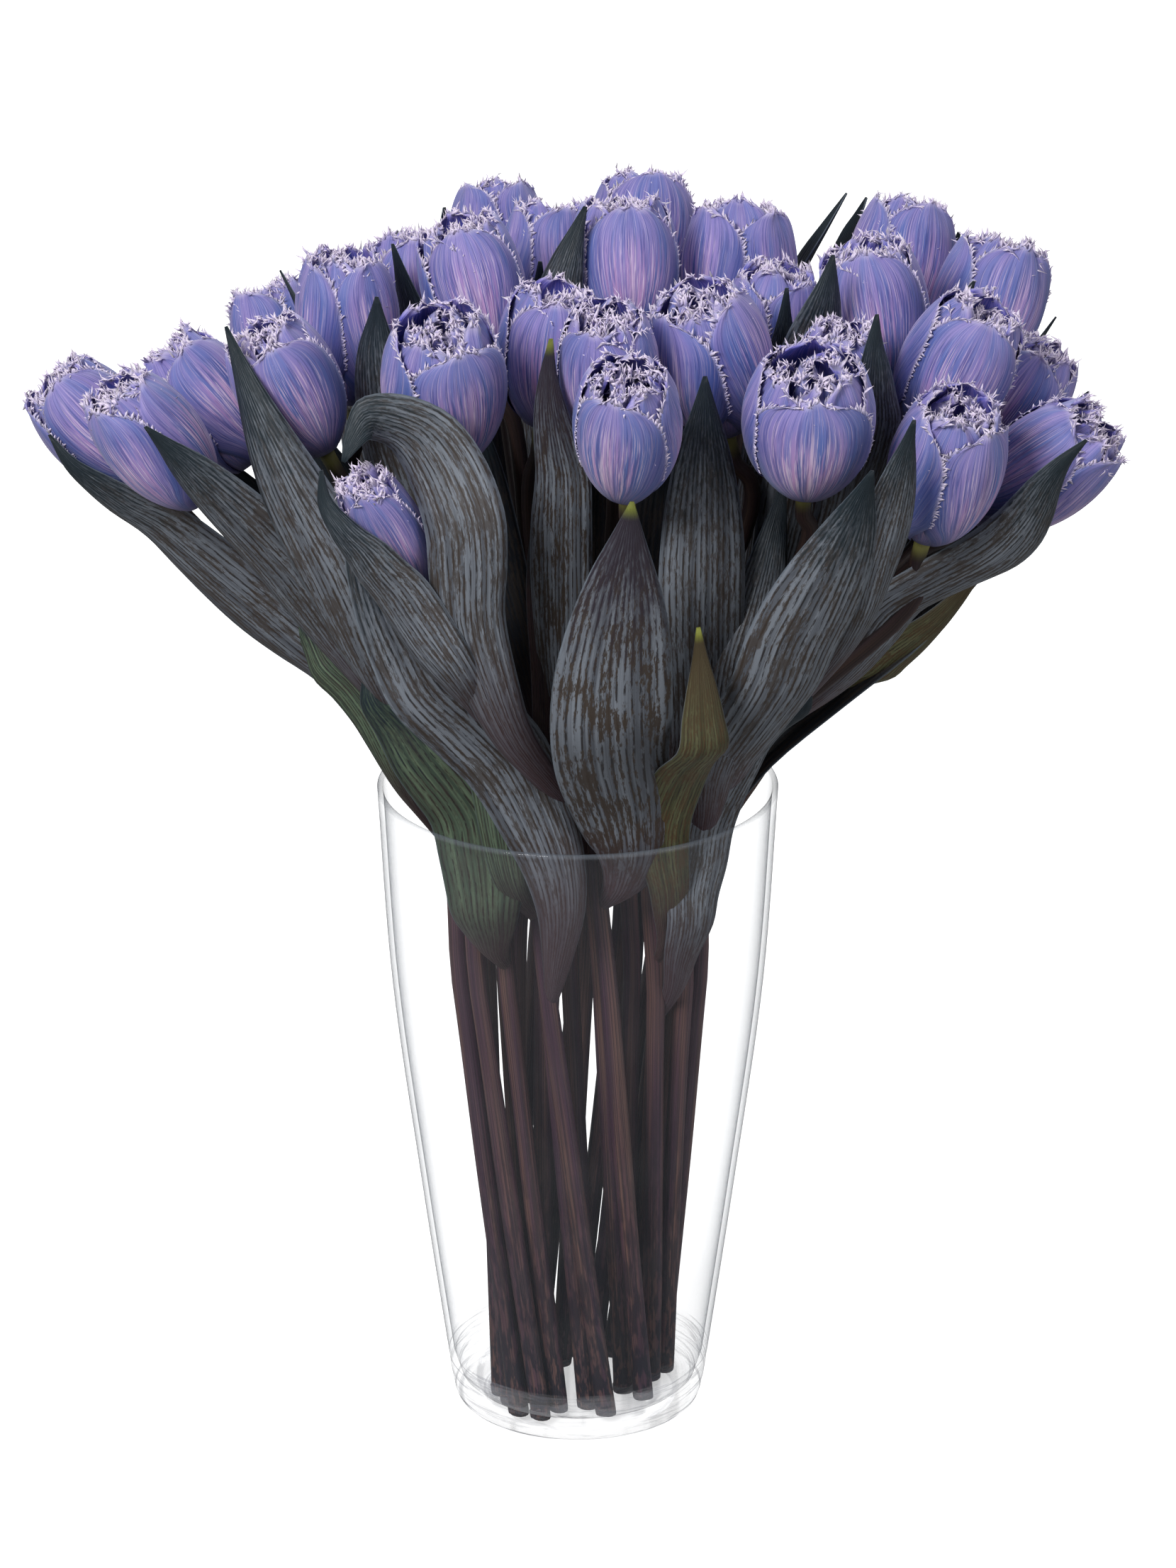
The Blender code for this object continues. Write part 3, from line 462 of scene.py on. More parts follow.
def room_shift(points, blooms):
    """How far a row of a blade has to move to lie clear of the blooms and inside the vase."""
    centre = sum(points, Vector()) / len(points)
    best = Vector()
    for bloom in blooms:
        away = centre - bloom.base
        if away.length > bloom.length + BLOOM_REACH:
            continue
        away -= bloom.axis * away.dot(bloom.axis)
        if away.length < 1:
            continue
        away.normalize()
        for p in points:
            local = p - bloom.base
            height = local.dot(bloom.axis)
            if not -ROOM_BELOW < height < bloom.length + ROOM_ABOVE:
                continue
            radial = local - bloom.axis * height
            wanted = max(bloom.girth(height / bloom.length), RECEPTACLE_RADIUS) + LEAF_CLEARANCE
            short = wanted - radial.length
            if short > best.length:
                best = away * short
    for p in points:
        if p.z > VASE_HEIGHT + RIM_ROOM:
            continue
        limit = vase_radius(p.z) - VASE_WALL - GLASS_CLEARANCE
        limit += max(0.0, p.z - VASE_HEIGHT) * RIM_LEAN
        reach = p.xy.length - limit
        if reach > best.length:
            best = -Vector((p.x, p.y, 0)).normalized() * reach
    return best


def eased(grid, blooms):
    """The blade with its rows moved clear of blooms and glass, each one easing into the next."""
    for _ in range(EASE_ROUNDS):
        shifts = [room_shift(row, blooms) for row in grid]
        shifts[0] = Vector()
        if max(shift.length for shift in shifts) < EASE_ENOUGH:
            break
        smooth = [Vector()]
        for i in range(1, len(shifts)):
            near = [shifts[j] * EASE_SHARE for j in (i - 1, i + 1) if j < len(shifts)]
            smooth.append(max([shifts[i], *near], key=lambda v: v.length))
        grid = [[p + move for p in row] for row, move in zip(grid, smooth)]
    return grid


def leaf_grids(blooms, lines, rows, columns):
    """(tulip, look, grid) for every leaf of the bunch."""
    made = []
    forms = list(blooms.values())
    carried = {name: 0 for name in lines}
    sown = [(leaf, [seen_at(*point) for point in leaf.points], -LEAF_TURN) for leaf in LEAVES]
    for leaf, points, behind in sown + rear_leaves(blooms, lines):
        height = max(leaf.height, min(points[0].z - LEAF_RUN, LEAF_TOP_LEVEL))
        tulip = nearest_stem(lines, height, points[0], carried)
        height += LEAF_STAGGER * carried[tulip]
        carried[tulip] += 1
        line = [stem_point_at(lines[tulip], height), *points]
        grid = blade_rows(line, leaf, behind, rows, columns)
        made.append((tulip, leaf.look, eased(grid, forms)))
    return made


# Fineness of the dressed pieces, and the seeds of what is drawn at random.
PETAL_SHEET = 0.55
TOOTH_SPACING = 1.15
BLADE_ROWS = 44
BLADE_COLUMNS = 10
STEM_GRID_RINGS = 44
STEM_GRID_SIDES = 14
GLASS_STEPS = 144
GLASS_ROWS = 24
LIP_STEPS = 8
BLOOM_SEED = 40
BLADE_SEED = 7

# The glass: where the foot's finish ends and the lip's starts, the floor's rounded corner as
# (radius, rise above the floor), the height above it where the inner wall goes on, and the heel
# from the wall inwards as (radius, height).
FOOT_TOP = 24.0
LIP_START = 302.5
GLASS_FLOOR = ((0, 0), (44, 0), (50.5, 1.2), (54.6, 5))
GLASS_CORNER = 12.0
GLASS_HEEL = ((57.6, 5.2), (56.6, 2.2), (55, 0.6), (53, 0), (46, 0), (42, 1.6), (0, 2.4))

# The layers of a bloom, each with three petals: the turn of its first petal, half a petal's angle,
# the layer's radius as a share of the cup's, how far it curls in at the top, how high its petals
# reach as a share of the bloom, how much they ruffle and crumple, rows and columns of points, and
# the height on a petal's sides where the fringe starts.
Layer = namedtuple("Layer", "turn spread radius curl tops ruffle rows columns hem")
LAYERS = (
    Layer(0, 67, 1.0, 0.02, (0.94, 1.01), (0.5, 1.0), 24, 16, 0.28),
    Layer(60, 64, 0.91, 0.07, (0.96, 1.03), (1.2, 2.0), 20, 16, 0.5),
    Layer(20, 68, 0.66, 0.12, (0.92, 1.00), (2.2, 3.4), 12, 14, 0.7),
    Layer(75, 70, 0.34, 0.10, (0.90, 0.97), (1.6, 2.6), 8, 10, 0.7),
)

# A petal's width, with u -1 to 1 over it and v 0 to 1 up it: it widens over a stretch from the
# foot, and from the crown's start it rounds off to a least share of its width.
PETAL_WIDENS = 0.3
CROWN_START = 0.38
CROWN_LEAST = 0.22
CROWN_REACH = 0.96
CROWN_POWER = 4.5
# Its edges dip at the top and draw in, one more than the other, and it flares at the top while it
# curls in from a start. A crease runs down its middle.
EDGE_DIP = 0.035
EDGE_DRAW = 0.03
EDGE_TWIST = 0.025
PETAL_FLARE = 0.12
CURL_START = 0.5
CREASE_DEPTH = 0.7
CREASE_WIDTH = 0.07
# The ruffle starts at a height, with less of it down the edges. Its waves go in and out, broad and
# fine, and up and down, by a share of the bloom's length.
RUFFLE_START = 0.62
RUFFLE_SIDES = 0.35
RUFFLE_RISE = 0.011
RUFFLE_WAVES = (6.5, 17, 9)

# The fringe's path: its points up each side of a petal and over the top.
FRINGE_SIDE_STEPS = 70
FRINGE_TOP_STEPS = 16
# Its teeth: their length low on a petal and what the top adds, the range of shares of it that they
# take, their widths, their swing to either side in degrees, their curl, how deep they are rooted
# and half their thickness.
TOOTH_LENGTH = (1.4, 2.1)
TOOTH_SHARES = (0.45, 1.4)
TOOTH_WIDTHS = (0.5, 1.1)
TOOTH_SWING = 48
TOOTH_CURL = 0.5
TOOTH_ROOT = 0.9
TOOTH_DEPTH = 0.22
# How pale a tooth is at its foot, middle and tip.
TOOTH_SHADES = (0.36, 0.6, 0.9)

# A leaf's waved edges, its crease down the middle, and how its blade thins to the edges.
LEAF_WAVE = 0.9
LEAF_CREASE = 0.8
LEAF_CREASE_WIDTH = 0.12
LEAF_EDGE = 0.7
LEAF_THINNING = 0.55


class Value:
    """A socket whose operators add the Math nodes that work an expression out."""

    def __init__(self, finish, socket):
        self.finish = finish
        self.socket = socket

    def math(self, operation, first, second=0.0):
        return self.finish.node("ShaderNodeMath", {"operation": operation}, {0: first, 1: second})

    def __add__(self, other):
        return self.math("ADD", self, other)

    def __sub__(self, other):
        return self.math("SUBTRACT", self, other)

    def __rsub__(self, other):
        return self.math("SUBTRACT", other, self)

    def __mul__(self, other):
        return self.math("MULTIPLY", self, other)

    def __truediv__(self, other):
        return self.math("DIVIDE", self, other)

    def __pow__(self, other):
        return self.math("POWER", self, other)

    __radd__ = __add__
    __rmul__ = __mul__

    def __abs__(self):
        return self.math("ABSOLUTE", self)

    def sine(self):
        return self.math("SINE", self)

    def rise(self, low, high):
        """0 up to low and 1 from high on, with an even climb between them."""
        settings = {"interpolation_type": "SMOOTHSTEP", "clamp": True}
        sockets = {"Value": self, "From Min": low, "From Max": high}
        return self.finish.node("ShaderNodeMapRange", settings, sockets)

    def near(self, centre, reach):
        """1 at a centre, falling to 0 at a reach on both sides of it."""
        return 1 - abs(self - centre).rise(0.0, reach)


class Finish:
    """A material or a world, with one method that makes any node in it."""

    def __init__(self, name, kind="materials"):
        self.holder = getattr(bpy.data, kind).new(name)
        self.holder.use_nodes = True
        self.tree = self.holder.node_tree
        self.tree.nodes.clear()

    def node(self, kind, settings=None, sockets=None, output=0):
        """Makes a node: its settings first, then values or links for its sockets."""
        made = self.tree.nodes.new(kind)
        for key, value in (settings or {}).items():
            setattr(made, key, value)
        for key, value in (sockets or {}).items():
            if isinstance(value, Value):
                self.tree.links.new(value.socket, made.inputs[key])
            else:
                made.inputs[key].default_value = value
        return Value(self, made.outputs[output]) if len(made.outputs) else None

    def reading(self, name):
        """A value that the mesh carries at each point."""
        return self.node("ShaderNodeAttribute", {"attribute_name": name}, output="Fac")

    def facing(self):
        """0 where the surface faces the eye and 1 where it turns away."""
        return self.node("ShaderNodeLayerWeight", None, {"Blend": 0.5}, output="Facing")

    def place(self):
        """Where a point lies, in the piece's own axes in metres."""
        return self.node("ShaderNodeTexCoord", output="Object")

    def part_of(self, place, axis):
        return self.node("ShaderNodeSeparateXYZ", None, {"Vector": place}, output=axis)

    def bounced(self):
        """1 for light that has bounced off a surface, and 0 for what the eye sees straight."""
        diffuse = self.node("ShaderNodeLightPath", output="Is Diffuse Ray")
        return diffuse + self.node("ShaderNodeLightPath", output="Is Glossy Ray")

    def vector(self, x, y, z=0.0):
        return self.node("ShaderNodeCombineXYZ", None, {0: x, 1: y, 2: z})

    def grain(self, vector, scale, detail=2.0, roughness=0.5):
        """Noise over a vector, from about 0.3 to 0.7."""
        sockets = {"Vector": vector, "Scale": scale, "Detail": detail, "Roughness": roughness}
        return self.node("ShaderNodeTexNoise", None, sockets)

    def blend(self, factor, first, second):
        """A colour that goes from the first to the second as the factor goes from 0 to 1."""
        settings = {"data_type": "RGBA", "clamp_factor": True}
        return self.node("ShaderNodeMix", settings, {0: factor, 6: first, 7: second}, output=2)

    def relief(self, height, distance, strength=0.6):
        """A normal that a height in metres raises."""
        sockets = {"Height": height, "Distance": distance, "Strength": strength}
        return self.node("ShaderNodeBump", None, sockets)

    def surface(self, sockets):
        """Ends the material in a Principled surface with these sockets."""
        shader = self.node("ShaderNodeBsdfPrincipled", None, sockets)
        self.node("ShaderNodeOutputMaterial", None, {"Surface": shader})
        return self.holder


def tint(code):
    """A linear colour from its six-figure screen code."""
    channels = [int(code[i:i + 2], 16) / 255 for i in (0, 2, 4)]
    linear = [c / 12.92 if c <= 0.04045 else ((c + 0.055) / 1.055) ** 2.4 for c in channels]
    return (*linear, 1.0)


def petal_outside():
    """Blue-violet, feathered in pink from the midrib, with blue sides, a dark root and pale edges."""
    look = Finish("petal_outside")
    across, along = look.reading("across"), look.reading("along")
    rim, grain = look.reading("rim"), look.reading("grain")
    fan = across / (along * 0.55 + 0.45)
    broad = look.grain(look.vector(fan * 2.6, along * 1.2, grain), 1.0, 2.0)
    veins = look.grain(look.vector(fan * 30, along * 2.2, grain), 1.0, 3.0, 0.6)
    feather = look.grain(look.vector(fan * 12, along * 1.6, grain + 4.0), 1.0, 3.0, 0.65)
    hairs = look.grain(look.vector(fan * 40, along * 2.4, grain + 9.0), 1.0, 3.0, 0.65)
    side = abs(fan)
    colour = look.blend(broad.rise(0.38, 0.62), tint("6072B6"), tint("8A80C0"))
    lobe = (1 - side.rise(0.25, 1.1)) * along.near(0.42, 0.55)
    colour = look.blend(lobe * feather.rise(0.42, 0.62), colour, tint("C49ACE"))
    colour = look.blend(side.near(0.0, 0.13) * along.near(0.4, 0.5) * 0.6, colour, tint("DCB6DA"))
    colour = look.blend(veins.rise(0.50, 0.60) * 0.6, colour, tint("3E478E"))
    colour = look.blend(hairs.rise(0.53, 0.62) * (lobe * 0.6 + 0.3), colour, tint("E6CFEA"))
    margin = abs(across).rise(0.45, 0.95) * (1 - along.rise(0.55, 0.95))
    colour = look.blend(margin * (1 - rim) * 0.75, colour, tint("38488F"))
    colour = look.blend((1 - along.rise(0.02, 0.22)) * 0.7, colour, tint("342A62"))
    colour = look.blend(along.rise(0.72, 1.0) * 0.35, colour, tint("9A92D0"))
    colour = look.blend(rim.rise(0.20, 0.66), colour, tint("F4E7FC"))
    return look.surface({
        "Base Color": colour, "Roughness": 0.55, "Normal": look.relief(veins, 0.0004, 0.6),
        "Sheen Weight": 0.15, "Sheen Roughness": 0.5, "Specular IOR Level": 0.3,
    })


def petal_inside():
    """The deep blue that shows inside an open bloom."""
    look = Finish("petal_inside")
    across, along = look.reading("across"), look.reading("along")
    rim, grain = look.reading("rim"), look.reading("grain")
    veins = look.grain(look.vector(across * 26, along * 2.0, grain), 1.0, 3.0, 0.6)
    colour = look.blend(veins.rise(0.4, 0.6), tint("525AB6"), tint("8A7ECC"))
    colour = look.blend(1 - along.rise(0.2, 0.7), colour, tint("322A74"))
    colour = look.blend(rim.rise(0.20, 0.66), colour, tint("F4E7FC"))
    return look.surface({
        "Base Color": colour, "Roughness": 0.55, "Normal": look.relief(veins, 0.0003, 0.5),
        "Specular IOR Level": 0.3,
    })


LeafColours = namedtuple("LeafColours", "ground bright vein mottle tip root point")


def leaf_look(name, colours, spots):
    """A blade with broken dark veins, brown mottling, a dark streaked tip, a red root and painted rim
    light along its edges.
    """
    look = Finish(name)
    across, along = look.reading("across"), look.reading("along")
    grain = look.reading("grain")
    drift = look.grain(look.vector(across * 2.0, along * 5.0, grain), 1.0, 2.0)
    bands = look.grain(look.vector(across * 9, along * 1.0, grain + 1.0), 1.0, 3.0, 0.6)
    broken = look.grain(look.vector(across * 16, along * 30, grain + 2.0), 1.0, 3.0, 0.65)
    patches = look.grain(look.vector(across * 4, along * 13, grain + 5.0), 1.0, 3.0, 0.65)
    specks = look.grain(look.vector(across * 30, along * 60, grain + 8.0), 1.0, 4.0, 0.75)
    ribs = (across * 46 + drift * 9).sine()
    colour = look.blend(bands.rise(0.36, 0.64), colours.ground, colours.bright)
    vein = ribs.rise(0.30, 0.90) * broken.rise(0.40, 0.54)
    colour = look.blend(vein * 0.9, colour, colours.vein)
    worn = (patches * 0.6 + specks * 0.6 + ribs * 0.035).rise(0.59, 0.65)
    colour = look.blend(worn * spots, colour, colours.mottle)
    top = (along + (broken - 0.5) * 0.5 + ribs * 0.03).rise(0.60, 0.92)
    colour = look.blend(top * 0.95, colour, colours.tip)
    colour = look.blend((1 - along.rise(0.08, 0.34)) * 0.75, colour, colours.root)
    # Painted rim light: a pale grey band along the blade's edges.
    colour = look.blend(abs(across).rise(0.95, 1.0) * 0.5, colour, tint("77838F"))
    if colours.point:
        colour = look.blend(along.rise(0.955, 0.99) * 0.85, colour, colours.point)
    relief = look.relief(ribs * 0.25 + broken * 0.5 + bands * 0.5, 0.0005, 0.6)
    return look.surface({
        "Base Color": colour, "Roughness": 0.5 + (broken - 0.5) * 0.4, "Normal": relief,
        "Specular IOR Level": 0.35,
    })


def leaf_looks():
    """The blades' finishes by name."""
    slate = LeafColours(
        tint("565A62"), tint("7C828B"), tint("221D1D"), tint("40362E"), tint("18262E"),
        tint("4C3239"), None,
    )
    olive = slate._replace(
        ground=tint("45452F"), bright=tint("66674A"), mottle=tint("54402A"), tip=tint("4A3F2C"),
        point=tint("9AA046"),
    )
    return {
        "slate": leaf_look("slate_leaf", slate, 0.75),
        "tipped": leaf_look(
            "tipped_leaf", slate._replace(tip=tint("2C2530"), point=tint("848A3A")), 0.95
        ),
        "red": leaf_look(
            "red_leaf", slate._replace(ground=tint("2A2126"), bright=tint("432E33")), 0.5
        ),
        "olive": leaf_look("olive_leaf", olive, 0.8),
        "green": leaf_look(
            "green_leaf", slate._replace(ground=tint("38453A"), bright=tint("5C6D58")), 0.35
        ),
        # Near-black painted shade: the finish of the blades deep in the bunch and of every blade's
        # back.
        "inside": leaf_look(
            "leaf_painted_shade", slate._replace(ground=tint("101318"), bright=tint("20242C")), 0.4
        ),
    }


def stem_skin():
    """Dull purple-brown, with painted shade darkening it from about half its length up, olive near
    the bloom, with ink-blue blotches at the cut end.
    """
    look = Finish("stem_skin")
    around, along = look.reading("across"), look.reading("along")
    grain = look.reading("grain")
    streaks = look.grain(look.vector(around * 9, along * 5, grain), 1.0, 3.0, 0.6)
    blotch = look.grain(look.vector(around * 2, along * 45, grain + 3.0), 1.0, 3.0, 0.6)
    shift = look.grain(look.vector(around, along * 4, grain + 6.0), 1.0, 2.0)
    colour = look.blend(shift.rise(0.35, 0.65), tint("4A3040"), tint("6E5048"))
    colour = look.blend(streaks.rise(0.40, 0.60) * 0.75, colour, tint("2A1F26"))
    # Painted shade: the stem goes near-black from about half its length up, where it stands in the
    # dark between the leaves.
    colour = look.blend(along.rise(0.48, 0.60) * 0.75, colour, tint("17140F"))
    colour = look.blend(along.rise(0.86, 0.97), colour, tint("7F7C45"))
    stained = (1 - along.rise(0.14, 0.40)) * blotch.rise(0.42, 0.54)
    colour = look.blend(stained * 0.9, colour, tint("10121F"))
    return look.surface({
        "Base Color": colour, "Roughness": 0.45, "Normal": look.relief(streaks, 0.0004, 0.4),
        "Specular IOR Level": 0.4,
    })


def wall_glass():
    """The thin wall: nearly unseen where it faces the eye, and pale grey where it turns away, a
    painted stand-in for the lines that real glass refracts and reflects.
    """
    look = Finish("wall_glass")
    facing, place = look.facing(), look.place()
    cloud = look.grain(place, 30.0, 2.0)
    lip = look.part_of(place, "Z").rise(LIP_START * MM, VASE_HEIGHT * MM)
    # Painted reflection and refraction: a faint grey haze over the whole wall, darker grey at grazing
    # angles and along the lip, where the alpha rises too.
    colour = look.blend(cloud.rise(0.3, 0.7), tint("A2A9B4"), tint("BCC2CA"))
    colour = look.blend(facing.rise(0.90, 1.0), colour, tint("5C6470"))
    colour = look.blend(lip, colour, tint("666E78"))
    return look.surface({
        "Base Color": colour, "Roughness": 0.04, "IOR": 1.45,
        "Alpha": facing**6 * 0.85 + lip * 0.3 + 0.02,
    })


def foot_glass():
    """The thick floor and heel: clear, with painted pale grey streaks that run round them, standing
    in for what the thick glass refracts.
    """
    look = Finish("foot_glass")
    facing, place = look.facing(), look.place()
    right, height = look.part_of(place, "X"), look.part_of(place, "Z")
    # Painted refraction: grey streaks that stand in for the stems and light bent through the thick
    # glass.
    streak = look.grain(look.vector(right * 40, height * 420), 1.0, 3.0, 0.6).rise(0.5, 0.62)
    colour = look.blend(streak, tint("F2F4F8"), tint("8C8E9A"))
    return look.surface({
        "Base Color": colour, "Roughness": 0.05, "IOR": 1.45,
        "Alpha": facing**3 * 0.35 + streak * facing * 0.5 + 0.03,
    })


def pale_floor():
    """The plain studio floor, which looks white but throws little light up at the flowers."""
    look = Finish("pale_floor")
    cloud, bounced = look.grain(look.place(), 3.0, 2.0), look.bounced()
    colour = look.blend(cloud, tint("D4D4D4"), tint("DADADA"))
    colour = look.blend(bounced, colour, tint("6A6A6A"))
    glow = look.blend(bounced, tint("FFFFFF"), tint("000000"))
    return look.surface({
        "Base Color": colour, "Roughness": 0.9, "Specular IOR Level": 0.1,
        "Emission Color": glow, "Emission Strength": FLOOR_GLOW,
    })


class Shape:
    """Gathers the points, faces and carried values of one piece."""

    def __init__(self):
        self.points = []
        self.faces = []
        self.finishes = []
        self.values = {"across": [], "along": [], "rim": [], "grain": []}

    def add(self, points, faces, finishes, across, along, rim=0.0, grain=0.0):
        """Adds a body: points as rows of x, y and z, and faces as rows of point numbers."""
        start = sum(len(p) for p in self.points)
        count = len(points)
        self.points.append(points)
        self.faces += [[start + corner for corner in face] for face in faces]
        self.finishes += list(finishes)
        for key, value in zip(self.values, (across, along, rim, grain)):
            self.values[key].append(np.broadcast_to(np.asarray(value, float), (count,)))

    def piece(self, name, materials):
        """Makes the piece, smooth, with its materials and carried values."""
        mesh = bpy.data.meshes.new(name)
        mesh.from_pydata((np.concatenate(self.points) * MM).tolist(), [], self.faces)
        for key, value in self.values.items():
            layer = mesh.attributes.new(key, "FLOAT", "POINT")
            layer.data.foreach_set("value", np.concatenate(value).astype(np.float32))
        for material in materials:
            mesh.materials.append(material)
        mesh.polygons.foreach_set("material_index", self.finishes)
        mesh.polygons.foreach_set("use_smooth", [True] * len(self.faces))
        mesh.update()
        obj = bpy.data.objects.new(name, mesh)
        bpy.context.scene.collection.objects.link(obj)
        return obj


def unit(vectors):
    """The vectors, each made one long."""
    return vectors / np.maximum(np.linalg.norm(vectors, axis=-1, keepdims=True), 1e-9)


def thick_sheet(shape, grid, half, front, back, across, along, rim, grain):
    """Adds a thin closed blade from a grid of points, half its thickness to either side."""
    rows, columns = grid.shape[:2]
    ahead, aside = np.gradient(grid, axis=0), np.gradient(grid, axis=1)
    normal = unit(np.cross(aside, ahead))
    points = np.concatenate([
        (grid + normal * half[..., None]).reshape(-1, 3),
        (grid - normal * half[..., None]).reshape(-1, 3),
    ])
    count = rows * columns
    faces, finishes = [], []
    for i in range(rows - 1):
        for j in range(columns - 1):
            a = i * columns + j
            quad = [a, a + 1, a + columns + 1, a + columns]
            faces.append(quad)
            faces.append([count + corner for corner in reversed(quad)])
            finishes += [front, back]
    edge = list(range(columns))
    edge += [i * columns + columns - 1 for i in range(1, rows)]
    edge += [(rows - 1) * columns + j for j in range(columns - 2, -1, -1)]
    edge += [i * columns for i in range(rows - 2, 0, -1)]
    for a, b in zip(edge, edge[1:] + edge[:1]):
        faces.append([b, a, count + a, count + b])
        finishes.append(front)
    both = [np.tile(np.broadcast_to(v, (rows, columns)).reshape(-1), 2) for v in (across, along, rim)]
    shape.add(points, faces, finishes, *both, grain)


Petal = namedtuple("Petal", "angle spread radius curl top ruffle phase grain hem")


def past(start, share):
    """0 up to a start and 1 at the end, with an even climb between them."""
    return np.clip((share - start) / (1 - start), 0, 1)


def petal_points(bloom, petal, u, v):
    """Points on a petal, whose upper margin ruffles in and out and up and down."""
    u, v = np.broadcast_arrays(np.asarray(u, float), np.asarray(v, float))
    foot = 0.5 + 0.5 * np.clip(v / PETAL_WIDENS, 0, 1)
    high = past(CROWN_START, v)
    crown = CROWN_LEAST + (1 - CROWN_LEAST) * np.sqrt(1 - CROWN_REACH * high**CROWN_POWER)
    angle = petal.angle + petal.spread * u * foot * crown
    margin = past(RUFFLE_START, v) ** 2 + RUFFLE_SIDES * np.abs(u) ** 4 * v
    broad, fine, up = (
        np.sin(u * wave + petal.phase * turn) for wave, turn in zip(RUFFLE_WAVES, (1, 2, 3))
    )
    along = PETAL_ROOT + (petal.top - PETAL_ROOT) * v - EDGE_DIP * u * u * v
    along = along + margin * petal.ruffle * RUFFLE_RISE * up
    girth = bloom.radius * np.sin(np.pi * (CUP_START + CUP_WAVE * np.clip(along, 0, 1))) ** 0.5
    radius = girth * petal.radius * (1 + EDGE_TWIST * u - EDGE_DRAW * u * u)
    radius = radius * (1 + PETAL_FLARE * v**4 - petal.curl * past(CURL_START, v) ** 2)
    radius = radius - CREASE_DEPTH * np.exp(-((u / CREASE_WIDTH) ** 2)) * np.sin(np.pi * v)
    radius = radius + petal.ruffle * margin * broad
    radius = radius + 0.5 * petal.ruffle * margin * fine
    base, axis = np.array(bloom.base), np.array(bloom.axis)
    front, side = np.array(bloom.front), np.array(bloom.side)
    around = np.cos(angle)[..., None] * front + np.sin(angle)[..., None] * side
    return base + axis * (along * bloom.length)[..., None] + around * radius[..., None]


def fringe(shape, bloom, petal, chance):
    """Adds the teeth that stand along a petal's upper edges, pale and curled at random."""
    climb = np.linspace(petal.hem, 1.0, FRINGE_SIDE_STEPS)
    over = np.linspace(-1, 1, FRINGE_TOP_STEPS)[1:-1]
    u = np.concatenate([np.full_like(climb, -1), over, np.full_like(climb, 1)])
    v = np.concatenate([climb, np.full_like(over, 1), climb[::-1]])
    path = petal_points(bloom, petal, u, v)
    # A second path, a little inside the edge, tells which way is out.
    inside = petal_points(bloom, petal, u * 0.95, v - np.where(np.abs(u) < 1, 0.05, 0.02))
    travel = np.concatenate([[0], np.cumsum(np.linalg.norm(np.diff(path, axis=0), axis=1))])
    count = int(travel[-1] / TOOTH_SPACING)
    places = (np.arange(count) + chance.uniform(0.1, 0.9, count)) * TOOTH_SPACING

    def at(values):
        return np.stack([np.interp(places, travel, values[:, i]) for i in range(3)], axis=1)

    root = at(path)
    out = unit(at(path - inside))
    run = unit(at(np.gradient(path, axis=0)))
    normal = unit(np.cross(run, out))
    height = np.interp(places, travel, v)
    length = (TOOTH_LENGTH[0] + TOOTH_LENGTH[1] * height**2) * chance.uniform(*TOOTH_SHARES, count)
    width = chance.uniform(*TOOTH_WIDTHS, count) * (0.65 + 0.45 * height)
    swing = np.radians(chance.uniform(-TOOTH_SWING, TOOTH_SWING, count))[:, None]
    lean = unit(out * np.cos(swing) + run * np.sin(swing))
    curl = chance.normal(0, TOOTH_CURL, count)[:, None] * (0.5 + 0.8 * height[:, None])
    reach = length[:, None]
    wide = run * width[:, None]
    slim = wide * 0.62
    depth = normal * TOOTH_DEPTH
    foot = root - lean * TOOTH_ROOT
    middle = root + lean * reach * 0.5 + normal * curl * reach * 0.16
    tip = root + lean * reach * 0.95 + normal * curl * reach * 0.8
    points = np.stack([
        foot + wide, foot - wide + depth, foot - wide - depth,
        middle + slim, middle - slim + depth, middle - slim - depth, tip,
    ], axis=1)
    form = [(0, 2, 1), (0, 1, 4, 3), (1, 2, 5, 4), (2, 0, 3, 5), (3, 4, 6), (4, 5, 6), (5, 3, 6)]
    corners = points.shape[1]
    faces = [[corner + corners * i for corner in face] for i in range(count) for face in form]
    shade = np.tile(np.repeat(TOOTH_SHADES, (3, 3, 1)), count)
    shade = shade * np.repeat((0.8 + 0.2 * height) * chance.uniform(0.8, 1.15, count), corners)
    height = np.repeat(height, corners)
    shape.add(points.reshape(-1, 3), faces, [0] * len(faces), 0.9, height, shade, petal.grain)


def bloom_petals(layer, chance):
    """The three petals of a layer, each a little different."""
    return [
        Petal(
            math.radians(layer.turn + 120 * index) + chance.normal(0, 0.04),
            math.radians(layer.spread), layer.radius, layer.curl, chance.uniform(*layer.tops),
            chance.uniform(*layer.ruffle), chance.uniform(0, 6.3), chance.uniform(0, 90), layer.hem,
        )
        for index in range(3)
    ]


def dress_bloom(name, bloom, materials):
    """One bloom: layers of fringed petals, the innermost crumpled into the top."""
    chance = np.random.default_rng(BLOOM_SEED + int(name))
    shape = Shape()
    for layer in LAYERS:
        v = 1 - (1 - np.linspace(0, 1, layer.rows + 1)[:, None]) ** 1.4
        u = np.linspace(-1, 1, layer.columns + 1)[None, :]
        edge = np.maximum(np.abs(u) * np.ones_like(v), v * np.ones_like(u))
        upper = np.clip((v - 0.2) / 0.25, 0, 1)
        rim = past(0.9, edge) * upper * 0.4
        half = PETAL_SHEET / 2 * (1 - 0.5 * past(0.8, edge))
        for petal in bloom_petals(layer, chance):
            grid = petal_points(bloom, petal, u, v)
            thick_sheet(shape, grid, half, 0, 1, u, v, rim, petal.grain)
            fringe(shape, bloom, petal, chance)
    return shape.piece("petals_" + name, materials)


